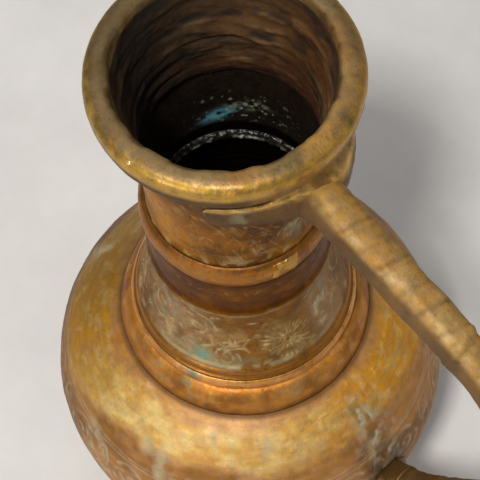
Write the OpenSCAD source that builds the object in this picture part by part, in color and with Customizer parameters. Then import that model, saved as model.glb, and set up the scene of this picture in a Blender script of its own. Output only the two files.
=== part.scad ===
// Tall-necked metal water jug: a bellied body in two raised halves, a collar,
// a flared and banded neck, a heavy cast mouth ring and a cast loop handle.
// Millimetres, +Z up. The origin is the centre of the foot at the surface it
// stands on, and the handle lies along +X.

/* [Body] */
// Radius of the belly at its widest
belly_r = 93.5; // [92:0.5:95]
// Height of the widest line above the rest plane
belly_z = 72.5; // [71:0.5:74]
// Thickness of the sheet the body is raised from
sheet_t = 2; // [1.8:0.1:2.2]
// Outer radius of the foot ring on the rest plane
foot_r = 58.6; // [57.5:0.1:60]

/* [Neck] */
// Outer radius of the upper neck where the handle clasps it
neck_top_r = 37; // [36.9:0.1:37.1]
// Outer radius of the upper neck at its waist
neck_waist_r = 34.9; // [34.7:0.1:35.1]
// Outer radius of the round band over the neck joint
neck_bead_r = 38.8; // [38.4:0.1:39.6]
// Outer radius of the ledge at the foot of the neck band
ledge_r = 38.8; // [38.2:0.1:39.4]
// Inner radius of the solder ring inside the neck joint
seam_r = 31.6; // [31:0.1:32.4]

/* [Mouth] */
// Inner radius of the mouth at the lip
mouth_r = 40; // [39.6:0.1:40.4]
// Outer radius of the mouth ring at its fullest
rim_r = 49.3; // [48.8:0.1:50]
// Height of the crown of the lip above the rest plane
lip_z = 318.9; // [318.5:0.1:319.5]

/* [Collar] */
// Outer radius of the round bead above the collar
collar_bead_r = 50.3; // [50.1:0.1:50.8]
// Outer radius of the collar ring where it meets the shoulder
collar_r = 56.8; // [56.4:0.1:57]

/* [Handle] */
// Width of the handle across the grip
grip_w = 15; // [13:0.5:15.5]
// Thickness of the handle in its own plane
grip_t = 15; // [13:0.5:16]
// Half of the angle that the clasp wraps round the neck, in degrees
clasp_half = 57; // [50:1:62]
// Radius of the rivet shanks that hold the lower pad
rivet_r = 1.6; // [1.4:0.1:1.8]

/* [Hidden] */
$fn = 96;

// levels, from the foot up
z_foot = 9;        // underside of the bowl, on the foot ring
z_crown = 132;     // flat top of the shoulder, under the collar
z_collar = 146;    // top of the collar ring
z_socket = 201;    // top end of the flare, inside the neck band
z_ledge = 197.2;   // lower edge of the neck band's ledge
z_joint = 229.2;   // joint of the two neck tubes, under the bead
z_bead = 229;      // middle of the bead
z_liner = 265.6;   // lower edge of the liner
z_seat = 288;      // seat of the mouth ring
bead_h = 7;        // half height of the bead
seat_r = 35.6;     // seat of the bead on the neck
crown_r = 57;      // where the shoulder's dome begins

// body curves: a superellipse above the belly and an ellipse below it
up_n = 2.2;
up_h = 71.7;
low_h = 77.8;
function up_pt(t, d) = [(belly_r + d) * pow(cos(t), 2 / up_n), belly_z + (up_h + d) * pow(sin(t), 2 / up_n)];
function low_pt(t, d) = [(belly_r + d) * cos(t), belly_z - (low_h + d) * sin(t)];
function up_t(r, d) = acos(pow(r / (belly_r + d), up_n / 2));
function up_tz(z, d) = asin(pow((z - belly_z) / (up_h + d), up_n / 2));
function low_tz(z, d) = asin((belly_z - z) / (low_h + d));
up_end = up_tz(z_crown, 0);
up_curve = [for (i = [0:18]) up_pt(up_end * i / 18, 0)];
up_inner_end = up_tz(z_crown - sheet_t, -sheet_t);
up_inner = [for (i = [0:18]) up_pt(up_inner_end * i / 18, -sheet_t)];
low_end = low_tz(z_foot, 0);
low_curve = [for (i = [0:18]) low_pt(low_end * i / 18, 0)];
disc_z = z_foot + 2;
low_inner_end = low_tz(disc_z, -sheet_t);
low_inner = [for (i = [0:18]) low_pt(low_inner_end * i / 18, -sheet_t)];
disc_r = low_inner[18][0];
function rev(v) = [for (i = [len(v) - 1:-1:0]) v[i]];

// handle centreline in its own plane, [x, z], by hand
path = [[42, 281.5], [50, 284.8], [60, 282.9], [72, 279.2], [86, 275.1], [100, 271.1],
        [114, 266.2], [126.4, 259.9], [137.6, 250.1], [145.9, 237.1], [150.5, 221.9], [152.2, 205],
        [151, 188.2], [146.3, 169.1], [139.5, 152], [131, 135.5], [121.5, 119], [113, 105.5], [104.5, 95]];
steps = 3;
function cr(a, b, c, d, t) = 0.5 * ((2 * b) + (c - a) * t + (2 * a - 5 * b + 4 * c - d) * t * t + (3 * b - a - 3 * c + d) * t * t * t);
function seg(i, t) = cr(path[max(i - 1, 0)], path[i], path[i + 1], path[min(i + 2, len(path) - 1)], t);
line = concat([for (i = [0:len(path) - 2]) for (k = [0:steps - 1]) seg(i, k / steps)], [path[len(path) - 1]]);
nl = len(line);
function unit(v) = v / norm(v);
function tan_at(i) = i == 0 ? [1, 0] : i == nl - 1 ? unit(line[i] - line[i - 1]) : unit(line[i + 1] - line[i - 1]);
// share of full size along the handle: fuller at the root, slimmer at the tail
function fat(i) = 1.04 - 0.24 * pow(i / (nl - 1), 1.6);
function deep(i) = 1.04 - 0.36 * pow(i / (nl - 1), 1.6);
sides = 20;
sq = 0.62; // squareness of the section: 1 is round, lower is squarer
function sg(v) = v < 0 ? -1 : 1;
function sec(k) = let (a = 360 * k / sides) [sg(cos(a)) * pow(abs(cos(a)), sq), sg(sin(a)) * pow(abs(sin(a)), sq)];
function ring_at(i) = let (c = line[i], t = tan_at(i), f = fat(i), d = deep(i))
    [for (k = [0:sides - 1]) let (s = sec(k))
        [c[0] - t[1] * s[1] * grip_t * d / 2, s[0] * grip_w * f / 2, c[1] + t[0] * s[1] * grip_t * d / 2]];
tail = line[nl - 1];
tail_t = tan_at(nl - 1);

// ---------- mouth ----------
rim_pin_az = -84.5;
module rim_pin_at(r, h) {
    rotate([0, 0, rim_pin_az]) translate([45.5, 0, 312]) rotate([0, 18, 0]) cylinder(r = r, h = h, $fn = 40);
}

module rim_ring() {
    color("#7d6a3c") difference() {
        rotate_extrude() polygon([
            [34.4, z_seat], [neck_top_r + 0.4, z_seat], [38.8, 290.4], [41.2, 294.6], [44, 299],
            [46.6, 303], [48.4, 306.6], [rim_r, 310], [rim_r - 0.3, 313], [rim_r - 1.4, 315.8],
            [rim_r - 3.2, lip_z - 1], [rim_r - 5.4, lip_z - 0.1], [mouth_r + 2, lip_z], [mouth_r + 0.6, lip_z - 0.4],
            [mouth_r, lip_z - 1.4], [mouth_r - 0.7, lip_z - 5], [38.2, 306], [36.8, 298], [35.2, 291.5]]);
        rim_pin_at(1.2, 20);
    }
}

module rim_pin() {
    color("#e0c070") intersection() {
        rim_pin_at(1.2, 20);
        rotate_extrude() polygon([[30, 300], [48.4, 306.6], [rim_r + 0.4, 310], [rim_r + 0.1, 313],
            [rim_r - 1, 316.1], [rim_r - 3, lip_z - 0.5], [rim_r - 5.3, lip_z + 0.4], [30, lip_z + 0.4]]);
    }
}

// ---------- neck ----------
module neck_liner() {
    color("#5a3a2a") rotate_extrude() polygon([
        [34.2, z_liner], [35, z_liner + 0.6], [35, z_seat], [34.4, z_seat], [34, 280], [34.2, 276], [33.9, 272], [34, z_liner + 0.8]]);
}

module neck_upper() {
    color("#9a6236") rotate_extrude() polygon([
        [35, z_seat], [neck_top_r, z_seat], [neck_top_r, 273], [36.7, 268], [36, 260.5], [35.2, 253.5],
        [neck_waist_r, 247], [35.2, 241], [seat_r, 236], [seat_r, z_joint], [34, z_joint],
        [34, 236], [33.6, 241], [neck_waist_r - 1.5, 247], [33.6, 253.5], [34.3, 260], [35, 264.5]]);
}

function bead_arc(d, a0, a1) = [for (a = [a0:15:a1]) [seat_r + (neck_bead_r - seat_r + d) * cos(a), z_bead + (bead_h + d) * sin(a)]];
module neck_bead_ring() {
    color("#b8743a") rotate_extrude() polygon(concat([[seat_r, z_bead - bead_h], [37.2, z_bead - bead_h]], bead_arc(0, -60, 75), [[seat_r, z_bead + bead_h]]));
}

// a small patch plate let over a crack in the bead
module bead_patch() {
    color("#d8a03c") rotate([0, 0, -19]) rotate_extrude(angle = 17) polygon(concat(bead_arc(0, -15, 60), rev(bead_arc(0.6, -15, 60))));
}

module neck_seam_ring() {
    color("#8a8070") rotate_extrude() polygon(concat([for (a = [-90:15:90]) [34 - (34 - seam_r) * cos(a), 220.4 + 3 * sin(a)]]));
}

module neck_lower() {
    color("#6e3f26") rotate_extrude() polygon([
        [34, z_joint], [seat_r, z_joint], [seat_r, z_bead - bead_h], [37.2, z_bead - bead_h], [37.3, 218], [37.1, 210],
        [37.2, 202.4], [38, 200.4], [ledge_r, 198.6], [ledge_r, z_ledge], [36.5, z_ledge], [36.5, z_socket],
        [35.2, z_socket], [35.2, 214], [34, 216.6]]);
}

module neck_flare() {
    color("#8c6a38") rotate_extrude() polygon([
        [34.9, z_socket], [36.5, z_socket], [36.5, 195], [37, 189], [37.9, 183], [39.3, 177], [41.2, 171], [43.4, 165],
        [45.8, 159], [48, 153.6], [48.8, 150.5], [48.8, z_crown], [47.2, z_crown], [47.2, 150], [46.4, 153],
        [44.3, 158], [41.9, 164.2], [39.6, 170.3], [37.7, 176.4], [36.3, 182.5], [35.4, 188.6], [34.9, 195]]);
}

// ---------- collar ----------
module collar_bead() {
    color("#b98458") rotate_extrude() polygon([
        [48.8, z_collar], [collar_bead_r - 0.4, z_collar], [collar_bead_r - 0.1, z_collar + 1.6], [collar_bead_r, z_collar + 3.2],
        [collar_bead_r - 0.3, z_collar + 5], [49.5, z_collar + 6.4], [48.8, z_collar + 6.8]]);
}

module collar_ring() {
    color("#b07a50") rotate_extrude() polygon([
        [48.8, z_crown], [collar_r, z_crown], [collar_r, 133.4], [collar_r - 0.4, 136.4], [collar_r - 1.4, 139.6],
        [collar_r - 3, 142.6], [collar_r - 4.8, 144.8], [collar_bead_r + 0.4, z_collar], [48.8, z_collar]]);
}

// ---------- body ----------
module body_solid(d) {
    rotate_extrude() polygon(concat(
        [[0, z_foot - d], [low_pt(low_end, d)[0], z_foot - d]],
        rev([for (i = [1:18]) low_pt(low_end * i / 18, d)]),
        [for (i = [0:18]) up_pt(up_end * i / 18, d)],
        [[0, up_pt(up_end, d)[1]]]));
}

rivet_az = 4.6;
rivet_z = 68;
module rivet_shanks(r, x0, x1) {
    for (s = [-1, 1]) rotate([0, 0, s * rivet_az]) translate([x0, 0, rivet_z]) rotate([0, 90, 0]) cylinder(r = r, h = x1 - x0, $fn = 40);
}

module body_shoulder() {
    color("#c08c3a") rotate_extrude() polygon(concat(
        up_curve, [[46, z_crown], [46, z_crown - sheet_t]], rev(up_inner)));
}

module body_bowl() {
    color("#8a5630") difference() {
        rotate_extrude() polygon(concat(
            low_curve, [[disc_r - 3.4, z_foot], [disc_r, disc_z]], rev([for (i = [0:17]) low_inner[i]])));
        rivet_shanks(rivet_r, 80, 110);
    }
}

module base_disc() {
    color("#7a4c2c") rotate_extrude() polygon([[0, z_foot], [disc_r - 3.4, z_foot], [disc_r, disc_z], [0, disc_z]]);
}

module foot_ring() {
    color("#94703a") rotate_extrude() polygon([
        [47.5, z_foot], [low_curve[18][0], z_foot], [low_curve[18][0] + 0.7, 7.2], [foot_r - 2.6, 4.4], [foot_r - 0.6, 2.6],
        [foot_r, 1.4], [foot_r, 0], [foot_r - 4.4, 0], [52.4, 3], [49.8, 6], [47.5, 7.4]]);
}

// ---------- handle ----------
// cast clasp round the neck with a square boss for the handle
module handle_saddle() {
    color("#a8904c") union() {
        rotate([0, 0, -clasp_half]) rotate_extrude(angle = 2 * clasp_half) polygon([
            [neck_top_r, 274], [38.5, 274.4], [39, 276], [39, 284], [38.5, 285.6], [neck_top_r, 286]]);
        difference() {
            union() {
                translate([30, -8, 273]) cube([12, 16, 21]);
                // web that fills the corner between the boss and the mouth ring, wider on one side
                translate([0, 0, 280]) linear_extrude(height = 14)
                    polygon([[26, -24], [34, -17.5], [40, -12.5], [42.5, -10], [46, -8], [42, -8], [42, 8], [47, 8],
                        [46.6, 14], [44.6, 19], [40, 25.5], [34, 30], [26, 31]]);
            }
            translate([0, 0, 200]) cylinder(r = neck_top_r, h = z_seat - 200);
            rotate_extrude() polygon([[0, z_seat], [neck_top_r + 0.4, z_seat], [38.8, 290.4], [41.2, 294.6], [0, 294.6]]);
        }
    }
}

module handle_grip() {
    color("#a08848") polyhedron(
        points = [for (i = [0:nl - 1]) each ring_at(i)],
        faces = concat(
            [[for (k = [0:sides - 1]) k]],
            [for (i = [0:nl - 2]) for (k = [0:sides - 1]) let (a = i * sides + k, b = i * sides + (k + 1) % sides)
                [a, a + sides, b + sides, b]],
            [[for (k = [sides - 1:-1:0]) (nl - 1) * sides + k]]));
}

// leaf-shaped pad raised to the belly's curve, with a stub that takes the handle's tail
module handle_foot() {
    stub_ang = atan2(tail_t[0], tail_t[1]);
    color("#9a8044") difference() {
        union() {
            intersection() {
                body_solid(2.4);
                translate([70, 0, 75]) rotate([0, 90, 0]) linear_extrude(height = 40)
                    polygon([for (a = [0:10:350]) [13.5 * cos(a), 13 * sg(sin(a)) * pow(abs(sin(a)), 1.15)]]);
            }
            translate([tail[0], 0, tail[1]]) rotate([0, stub_ang, 0]) cylinder(r1 = 5.4, r2 = 7, h = 24);
        }
        body_solid(0);
        rivet_shanks(rivet_r, 80, 110);
    }
}

module handle_rivets() {
    color("#b08a4a") for (s = [-1, 1]) rotate([0, 0, s * rivet_az]) translate([0, 0, rivet_z]) rotate([0, 90, 0]) rotate_extrude($fn = 40)
        polygon([[0, 89.2], [2.4, 89.8], [3, 90.6], [3, 91.1], [rivet_r, 91.1], [rivet_r, 95.7], [3.4, 95.7], [3.3, 96.6], [2.6, 97.5], [1.4, 98.1], [0, 98.3]]);
}

rim_ring();
rim_pin();
neck_liner();
neck_upper();
neck_bead_ring();
bead_patch();
neck_seam_ring();
neck_lower();
neck_flare();
collar_bead();
collar_ring();
body_shoulder();
body_bowl();
base_disc();
foot_ring();
handle_saddle();
handle_grip();
handle_foot();
handle_rivets();
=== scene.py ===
import math
import bpy
import numpy as np
from mathutils import Matrix, Vector


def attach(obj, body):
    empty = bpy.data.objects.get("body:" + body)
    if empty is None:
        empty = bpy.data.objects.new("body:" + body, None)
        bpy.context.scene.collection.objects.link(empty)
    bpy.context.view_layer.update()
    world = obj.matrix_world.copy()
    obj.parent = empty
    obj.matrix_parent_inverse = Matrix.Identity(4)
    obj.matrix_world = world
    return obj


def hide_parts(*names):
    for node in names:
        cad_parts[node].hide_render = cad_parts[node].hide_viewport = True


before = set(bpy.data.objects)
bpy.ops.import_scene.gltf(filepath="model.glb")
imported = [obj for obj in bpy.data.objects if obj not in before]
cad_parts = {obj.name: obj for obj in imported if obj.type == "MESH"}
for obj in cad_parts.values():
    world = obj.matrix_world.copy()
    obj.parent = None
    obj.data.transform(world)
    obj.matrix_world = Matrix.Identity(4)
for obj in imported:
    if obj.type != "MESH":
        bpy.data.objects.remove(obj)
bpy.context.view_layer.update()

# ------------------------------------------------------------------ numbers
MM = 0.001
LIP_Z, BELLY_R, BELLY_Z = 318.9, 93.5, 72.5
UP_N, UP_H, LOW_H, Z_FOOT, Z_CROWN = 2.2, 71.7, 77.8, 9.0, 132.0
VIEW_AZ = math.radians(51.0)       # from the view's frame to the jug's frame


def lin(r, g, b):
    c = np.array([r, g, b], float) / 255.0
    return np.where(c <= 0.04045, c / 12.92, ((c + 0.055) / 1.055) ** 2.4)


# ------------------------------------------------------------------ noise
def _h(ix, iy, iz, seed):
    h = (ix * 374761393 + iy * 668265263 + iz * 1274126177 + seed * 974634777) & 0xFFFFFFFF
    h = ((h ^ (h >> 13)) * 1274126177) & 0xFFFFFFFF
    h = h ^ (h >> 16)
    return h.astype(np.float64) / 2147483647.5 - 1.0


def vnoise(P, scale, seed=0):
    """smooth lattice noise in -1..1 at points P (N,3), in mm"""
    f = P / scale
    i = np.floor(f).astype(np.int64)
    t = f - i
    t = t * t * t * (t * (t * 6 - 15) + 10)
    x, y, z = i[:, 0], i[:, 1], i[:, 2]
    a, b, c = t[:, 0], t[:, 1], t[:, 2]
    r = 0
    for dx in (0, 1):
        for dy in (0, 1):
            for dz in (0, 1):
                w = (a if dx else 1 - a) * (b if dy else 1 - b) * (c if dz else 1 - c)
                r = r + w * _h(x + dx, y + dy, z + dz, seed)
    return r


def fbm(P, scale, octaves=4, seed=0, gain=0.5):
    s, amp, tot = 0.0, 1.0, 0.0
    for k in range(octaves):
        s = s + amp * vnoise(P + 17.3 * k, scale / 2 ** k, seed + 31 * k)
        tot += amp
        amp *= gain
    return s / tot * 1.5


def cells(P, scale, seed=0):
    """distance to the nearest of scattered points, in cell widths"""
    f = P / scale
    i = np.floor(f).astype(np.int64)
    best = np.full(len(P), 9.0)
    for dx in (-1, 0, 1):
        for dy in (-1, 0, 1):
            for dz in (-1, 0, 1):
                c = i + np.array([dx, dy, dz])
                p = np.stack([c[:, k] + 0.5 + 0.45 * _h(c[:, 0], c[:, 1], c[:, 2], seed + 7 * k) for k in range(3)], 1)
                best = np.minimum(best, ((p - f) ** 2).sum(1))
    return np.sqrt(best)


def sst(x, a, b):
    t = np.clip((x - a) / (b - a), 0, 1)
    return t * t * (3 - 2 * t)


def band(x, a, b, s):
    return sst(x, a - s, a + s) * (1 - sst(x, b - s, b + s))


def angd(az, c):
    """signed difference of azimuths in degrees"""
    return (az - c + 180.0) % 360.0 - 180.0


def mixc(c, k, m):
    m = np.clip(m, 0, 1)[:, None]
    return c * (1 - m) + np.asarray(k) * m


# ------------------------------------------------------------------ curves and meshes
def spline(pts, ds, smooth=True):
    """points along a centripetal Catmull-Rom curve, about ds apart"""
    p = np.array(pts, float)
    if smooth and len(p) > 2:
        q = np.vstack([2 * p[0] - p[1], p, 2 * p[-1] - p[-2]])
        out = []
        for i in range(1, len(q) - 2):
            a, b, c, d = q[i - 1:i + 3]
            t0 = 0.0
            t1 = t0 + max(np.linalg.norm(b - a), 1e-6) ** 0.5
            t2 = t1 + max(np.linalg.norm(c - b), 1e-6) ** 0.5
            t3 = t2 + max(np.linalg.norm(d - c), 1e-6) ** 0.5
            t = np.linspace(t1, t2, 16, endpoint=False)[:, None]
            A1 = (t1 - t) / (t1 - t0) * a + (t - t0) / (t1 - t0) * b
            A2 = (t2 - t) / (t2 - t1) * b + (t - t1) / (t2 - t1) * c
            A3 = (t3 - t) / (t3 - t2) * c + (t - t2) / (t3 - t2) * d
            B1 = (t2 - t) / (t2 - t0) * A1 + (t - t0) / (t2 - t0) * A2
            B2 = (t3 - t) / (t3 - t1) * A2 + (t - t1) / (t3 - t1) * A3
            out.append((t2 - t) / (t2 - t1) * B1 + (t - t1) / (t2 - t1) * B2)
        p = np.vstack(out + [p[-1:]])
    s = np.concatenate([[0], np.cumsum(np.linalg.norm(np.diff(p, axis=0), axis=1))])
    n = max(int(round(s[-1] / ds)), 1)
    u = np.linspace(0, s[-1], n + 1)
    return np.stack([np.interp(u, s, p[:, k]) for k in range(p.shape[1])], 1)


def loop(*parts):
    """joins curves (points, ds, smooth) into one closed ring of (r, z), anticlockwise, with each point's part number"""
    P, T = [], []
    for k, (pts, ds, sm) in enumerate(parts):
        c = spline(pts, ds, sm)
        P.append(c[:-1] if k < len(parts) - 1 or np.allclose(c[-1], P[0][0]) else c)
        T += [k] * len(P[-1])
    P, T = np.vstack(P), np.array(T)
    x, z = P[:, 0], P[:, 1]
    if (x * np.roll(z, -1) - np.roll(x, -1) * z).sum() < 0:
        P, T = P[::-1].copy(), T[::-1].copy()
    return P, T


def put(name, V, faces, col, surf, mat, ride="root"):
    me = bpy.data.meshes.new(name)
    n, m = len(V), len(faces)
    me.vertices.add(n)
    me.vertices.foreach_set("co", (V * MM).astype(np.float32).ravel())
    sizes = np.array([len(f) for f in faces], np.int32) if not isinstance(faces, np.ndarray) else np.full(m, faces.shape[1], np.int32)
    flat = faces.ravel().astype(np.int32) if isinstance(faces, np.ndarray) else np.concatenate([np.array(f, np.int32) for f in faces])
    me.loops.add(len(flat))
    me.loops.foreach_set("vertex_index", flat)
    me.polygons.add(m)
    me.polygons.foreach_set("loop_start", np.concatenate([[0], np.cumsum(sizes)[:-1]]).astype(np.int32))
    me.polygons.foreach_set("use_smooth", np.ones(m, bool))
    me.update(calc_edges=True)
    me.validate()
    sat = (col[:, 0] - col[:, 2]) / np.maximum(col[:, 0], 1e-4)
    warm = sst(sat, 0.35, 0.8) * (1 - sst(col[:, 1] / np.maximum(col[:, 0], 1e-4), 0.44, 0.58))
    col = col * np.stack([1 - 0.02 * warm, 1 - 0.07 * warm, 1 - 0.45 * warm], 1)
    for nm, val in (("Col", col), ("Surf", surf)):
        at = me.attributes.new(nm, "FLOAT_COLOR", "POINT")
        buf = np.ones((n, 4), np.float32)
        buf[:, :3] = np.clip(val, 0, 1)
        at.data.foreach_set("color", buf.ravel())
    me.materials.append(mat)
    ob = bpy.data.objects.new(name, me)
    bpy.context.scene.collection.objects.link(ob)
    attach(ob, ride)
    return ob


def quads(nv, nu, close_v, close_u):
    idx = np.arange(nv * nu).reshape(nv, nu)
    a = idx if close_v else idx[:-1]
    b = np.roll(idx, -1, 0) if close_v else idx[1:]
    if close_u:
        a2, b2 = np.roll(a, -1, 1), np.roll(b, -1, 1)
    else:
        a, a2, b, b2 = a[:, :-1], a[:, 1:], b[:, :-1], b[:, 1:]
    return np.stack([a.ravel(), a2.ravel(), b2.ravel(), b.ravel()], 1)


def ring_normals(P):
    t = np.roll(P, -1, 0) - np.roll(P, 1, 0)
    t /= np.maximum(np.linalg.norm(t, axis=1), 1e-9)[:, None]
    return np.stack([t[:, 1], -t[:, 0]], 1)


def warp(V):
    """what hand work does to the whole vessel: slightly out of round, the same for every piece"""
    r = np.hypot(V[:, 0], V[:, 1])
    az = np.arctan2(V[:, 1], V[:, 0])
    k = np.minimum(r, 100) / 93.5
    d = 0.28 * k * np.cos(2 * az + 0.7) + 0.16 * k * np.cos(3 * az - 1.1 + V[:, 2] * 0.012) - 0.16 * k
    e = np.where(r > 1e-6, (r + d) / np.maximum(r, 1e-6), 1.0)
    out = V.copy()
    out[:, 0] *= e
    out[:, 1] *= e
    return out


class Lathe:
    """A turned ring of points: fields for shape and paint are worked out on its flat arrays."""

    def __init__(self, P, T, nu):
        self.P, self.T, self.nu = P, T, nu
        th = np.linspace(0, 2 * np.pi, nu, endpoint=False)
        N = ring_normals(P)
        self.nv = len(P)
        R = np.repeat(P[:, 0], nu)
        Z = np.repeat(P[:, 1], nu)
        TH = np.tile(th, self.nv)
        self.part = np.repeat(T, nu)
        self.r, self.z, self.th = R, Z, TH
        self.az = np.degrees(TH)
        self.az = np.where(self.az > 180, self.az - 360, self.az)
        self.nr, self.nz = np.repeat(N[:, 0], nu), np.repeat(N[:, 1], nu)
        self.base = np.stack([R * np.cos(TH), R * np.sin(TH), Z], 1)
        s = np.concatenate([[0], np.cumsum(np.linalg.norm(np.diff(P, axis=0), axis=1))])
        self.s = np.repeat(s, nu)
        self.d = np.zeros(len(R))
        self.dr = np.zeros(len(R))
        self.dz = np.zeros(len(R))

    def verts(self):
        r = self.r + self.nr * self.d + self.dr
        z = self.z + self.nz * self.d + self.dz
        return warp(np.stack([r * np.cos(self.th), r * np.sin(self.th), z], 1))

    def build(self, name, col, surf, mat):
        return put(name, self.verts(), quads(self.nv, self.nu, True, True), col, surf, mat)


# ------------------------------------------------------------------ engraving
def stroke_mask(u, v, strokes):
    """how strongly points (u, v) in mm are cut by strokes: a list of (points, width)"""
    out = np.zeros(len(u))
    for pts, w in strokes:
        p = np.array(pts, float)
        for a, b in zip(p[:-1], p[1:]):
            near = (u > min(a[0], b[0]) - 3 * w) & (u < max(a[0], b[0]) + 3 * w) & (v > min(a[1], b[1]) - 3 * w) & (v < max(a[1], b[1]) + 3 * w)
            if not near.any():
                continue
            x, y = u[near], v[near]
            d = b - a
            L = max((d * d).sum(), 1e-9)
            t = np.clip(((x - a[0]) * d[0] + (y - a[1]) * d[1]) / L, 0, 1)
            q = np.hypot(x - a[0] - t * d[0], y - a[1] - t * d[1])
            out[near] = np.maximum(out[near], np.exp(-(q / w) ** 2))
    return out


def arc(cx, cy, r0, r1, a0, a1, n=16):
    return [(cx + (r0 + (r1 - r0) * k / n) * math.cos(math.radians(a0 + (a1 - a0) * k / n)),
             cy + (r0 + (r1 - r0) * k / n) * math.sin(math.radians(a0 + (a1 - a0) * k / n))) for k in range(n + 1)]


def rosette(R, w=0.5):
    st = [(arc(0, 0, 1.6, 1.6, 0, 360), w * 0.9)]
    n = 13
    for k in range(n):
        a = math.radians(360 * k / n + 6)
        c, s = math.cos(a), math.sin(a)
        wob = 1 + 0.12 * math.sin(5.3 * k)
        st.append(([(2.9 * c, 2.9 * s), (R * 0.92 * wob * c, R * 0.92 * wob * s)], w * 1.15))
        a2 = a + math.pi / n
        c2, s2 = math.cos(a2), math.sin(a2)
        st.append(([(R * 0.55 * c2, R * 0.55 * s2), (R * 1.02 * wob * c2, R * 1.02 * wob * s2)], w * 0.8))
    return st


def heart(R, w=0.5):
    """a curled scroll with an eye and a leaf round it"""
    return [(arc(0, 0.12 * R, 0.22 * R, 0.24 * R, 0, 360, 14), w * 1.2),
            (arc(-0.05 * R, 0, 0.95 * R, 0.5 * R, 205, -70, 26), w * 1.15),
            (arc(0.1 * R, -0.1 * R, 0.85 * R, 1.15 * R, -60, -200, 20), w),
            ([(-0.9 * R, 0.7 * R), (-0.3 * R, 1.15 * R), (0.5 * R, 1.05 * R), (1.0 * R, 0.5 * R)], w * 0.9),
            ([(0.9 * R, -0.2 * R), (1.25 * R, -0.7 * R), (0.8 * R, -1.15 * R)], w * 0.9)]


def leafstar(R, w=0.5):
    st = []
    for a in (90, 18, 162):
        c, s = math.cos(math.radians(a)), math.sin(math.radians(a))
        px, py = -s, c
        st.append(([(0, 0), (0.45 * R * c + 0.2 * R * px, 0.45 * R * s + 0.2 * R * py), (R * c, R * s),
                    (0.45 * R * c - 0.2 * R * px, 0.45 * R * s - 0.2 * R * py), (0, 0)], w))
    st.append((arc(0, -0.55 * R, 0.55 * R, 0.75 * R, 20, 160, 10), w * 1.1))
    st.append((arc(0, -1.05 * R, 0.75 * R, 0.95 * R, 30, 150, 10), w))
    return st


def scroll(R, w=0.6, flip=1):
    st = [([(x * flip, y) for x, y in arc(0, 0, 0.12 * R, 0.75 * R, -40, 400, 30)], w),
          ([(x * flip, y) for x, y in arc(0.25 * R, -0.5 * R, 0.95 * R, 1.1 * R, -20, 75, 12)], w * 0.9),
          ([(-0.7 * R * flip, 0.75 * R), (-0.25 * R * flip, 1.15 * R), (0.45 * R * flip, 1.25 * R), (0.95 * R * flip, 0.9 * R)], w),
          ([(-0.95 * R * flip, 0.1 * R), (-1.25 * R * flip, -0.6 * R), (-0.75 * R * flip, -1.25 * R), (0.1 * R * flip, -1.35 * R)], w)]
    return st


def petal(R, w=0.55):
    return [([(-0.42 * R, -R), (-0.5 * R, -0.2 * R), (-0.3 * R, 0.55 * R), (0, R), (0.3 * R, 0.55 * R), (0.5 * R, -0.2 * R), (0.42 * R, -R)], w),
            ([(0, -0.8 * R), (0, 0.35 * R)], w * 0.75),
            ([(-0.2 * R, -0.7 * R), (-0.2 * R, 0.0)], w * 0.5), ([(0.2 * R, -0.7 * R), (0.2 * R, 0.0)], w * 0.5)]


def place(L, sel, motifs, rref):
    """motifs: (azimuth, level, strokes, turn); level is height along z, stretched by the slope"""
    out = np.zeros(len(L.r))
    ids = np.nonzero(sel)[0]
    az, z, s, r = L.az[ids], L.z[ids], L.s[ids], L.r[ids]
    for a, zc, st, turn in motifs:
        j = np.argmin(np.abs(z - zc))
        s0, r0 = s[j], r[j]
        sgn = 1.0 if z[np.argmax(s)] > z[np.argmin(s)] else -1.0
        u = np.radians(angd(az, a)) * r
        v = (s - s0) * sgn
        near = (np.abs(u) < 26) & (np.abs(v) < 26)
        k = np.nonzero(near)[0]
        c, q = math.cos(math.radians(turn)), math.sin(math.radians(turn))
        uu, vv = u[k] * c + v[k] * q, -u[k] * q + v[k] * c
        # an unsteady hand
        jig = np.stack([u[k] + 31 * a, v[k] + zc, np.zeros(len(k))], 1)
        uu = uu + 0.35 * vnoise(jig, 4.0, 5)
        vv = vv + 0.35 * vnoise(jig, 4.0, 9)
        out[ids[k]] = np.maximum(out[ids[k]], stroke_mask(uu, vv, st))
    wear = sst(fbm(L.base, 4.2, 3, 77), -0.75, 0.35)
    return out * (0.18 + 0.82 * wear)


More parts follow.
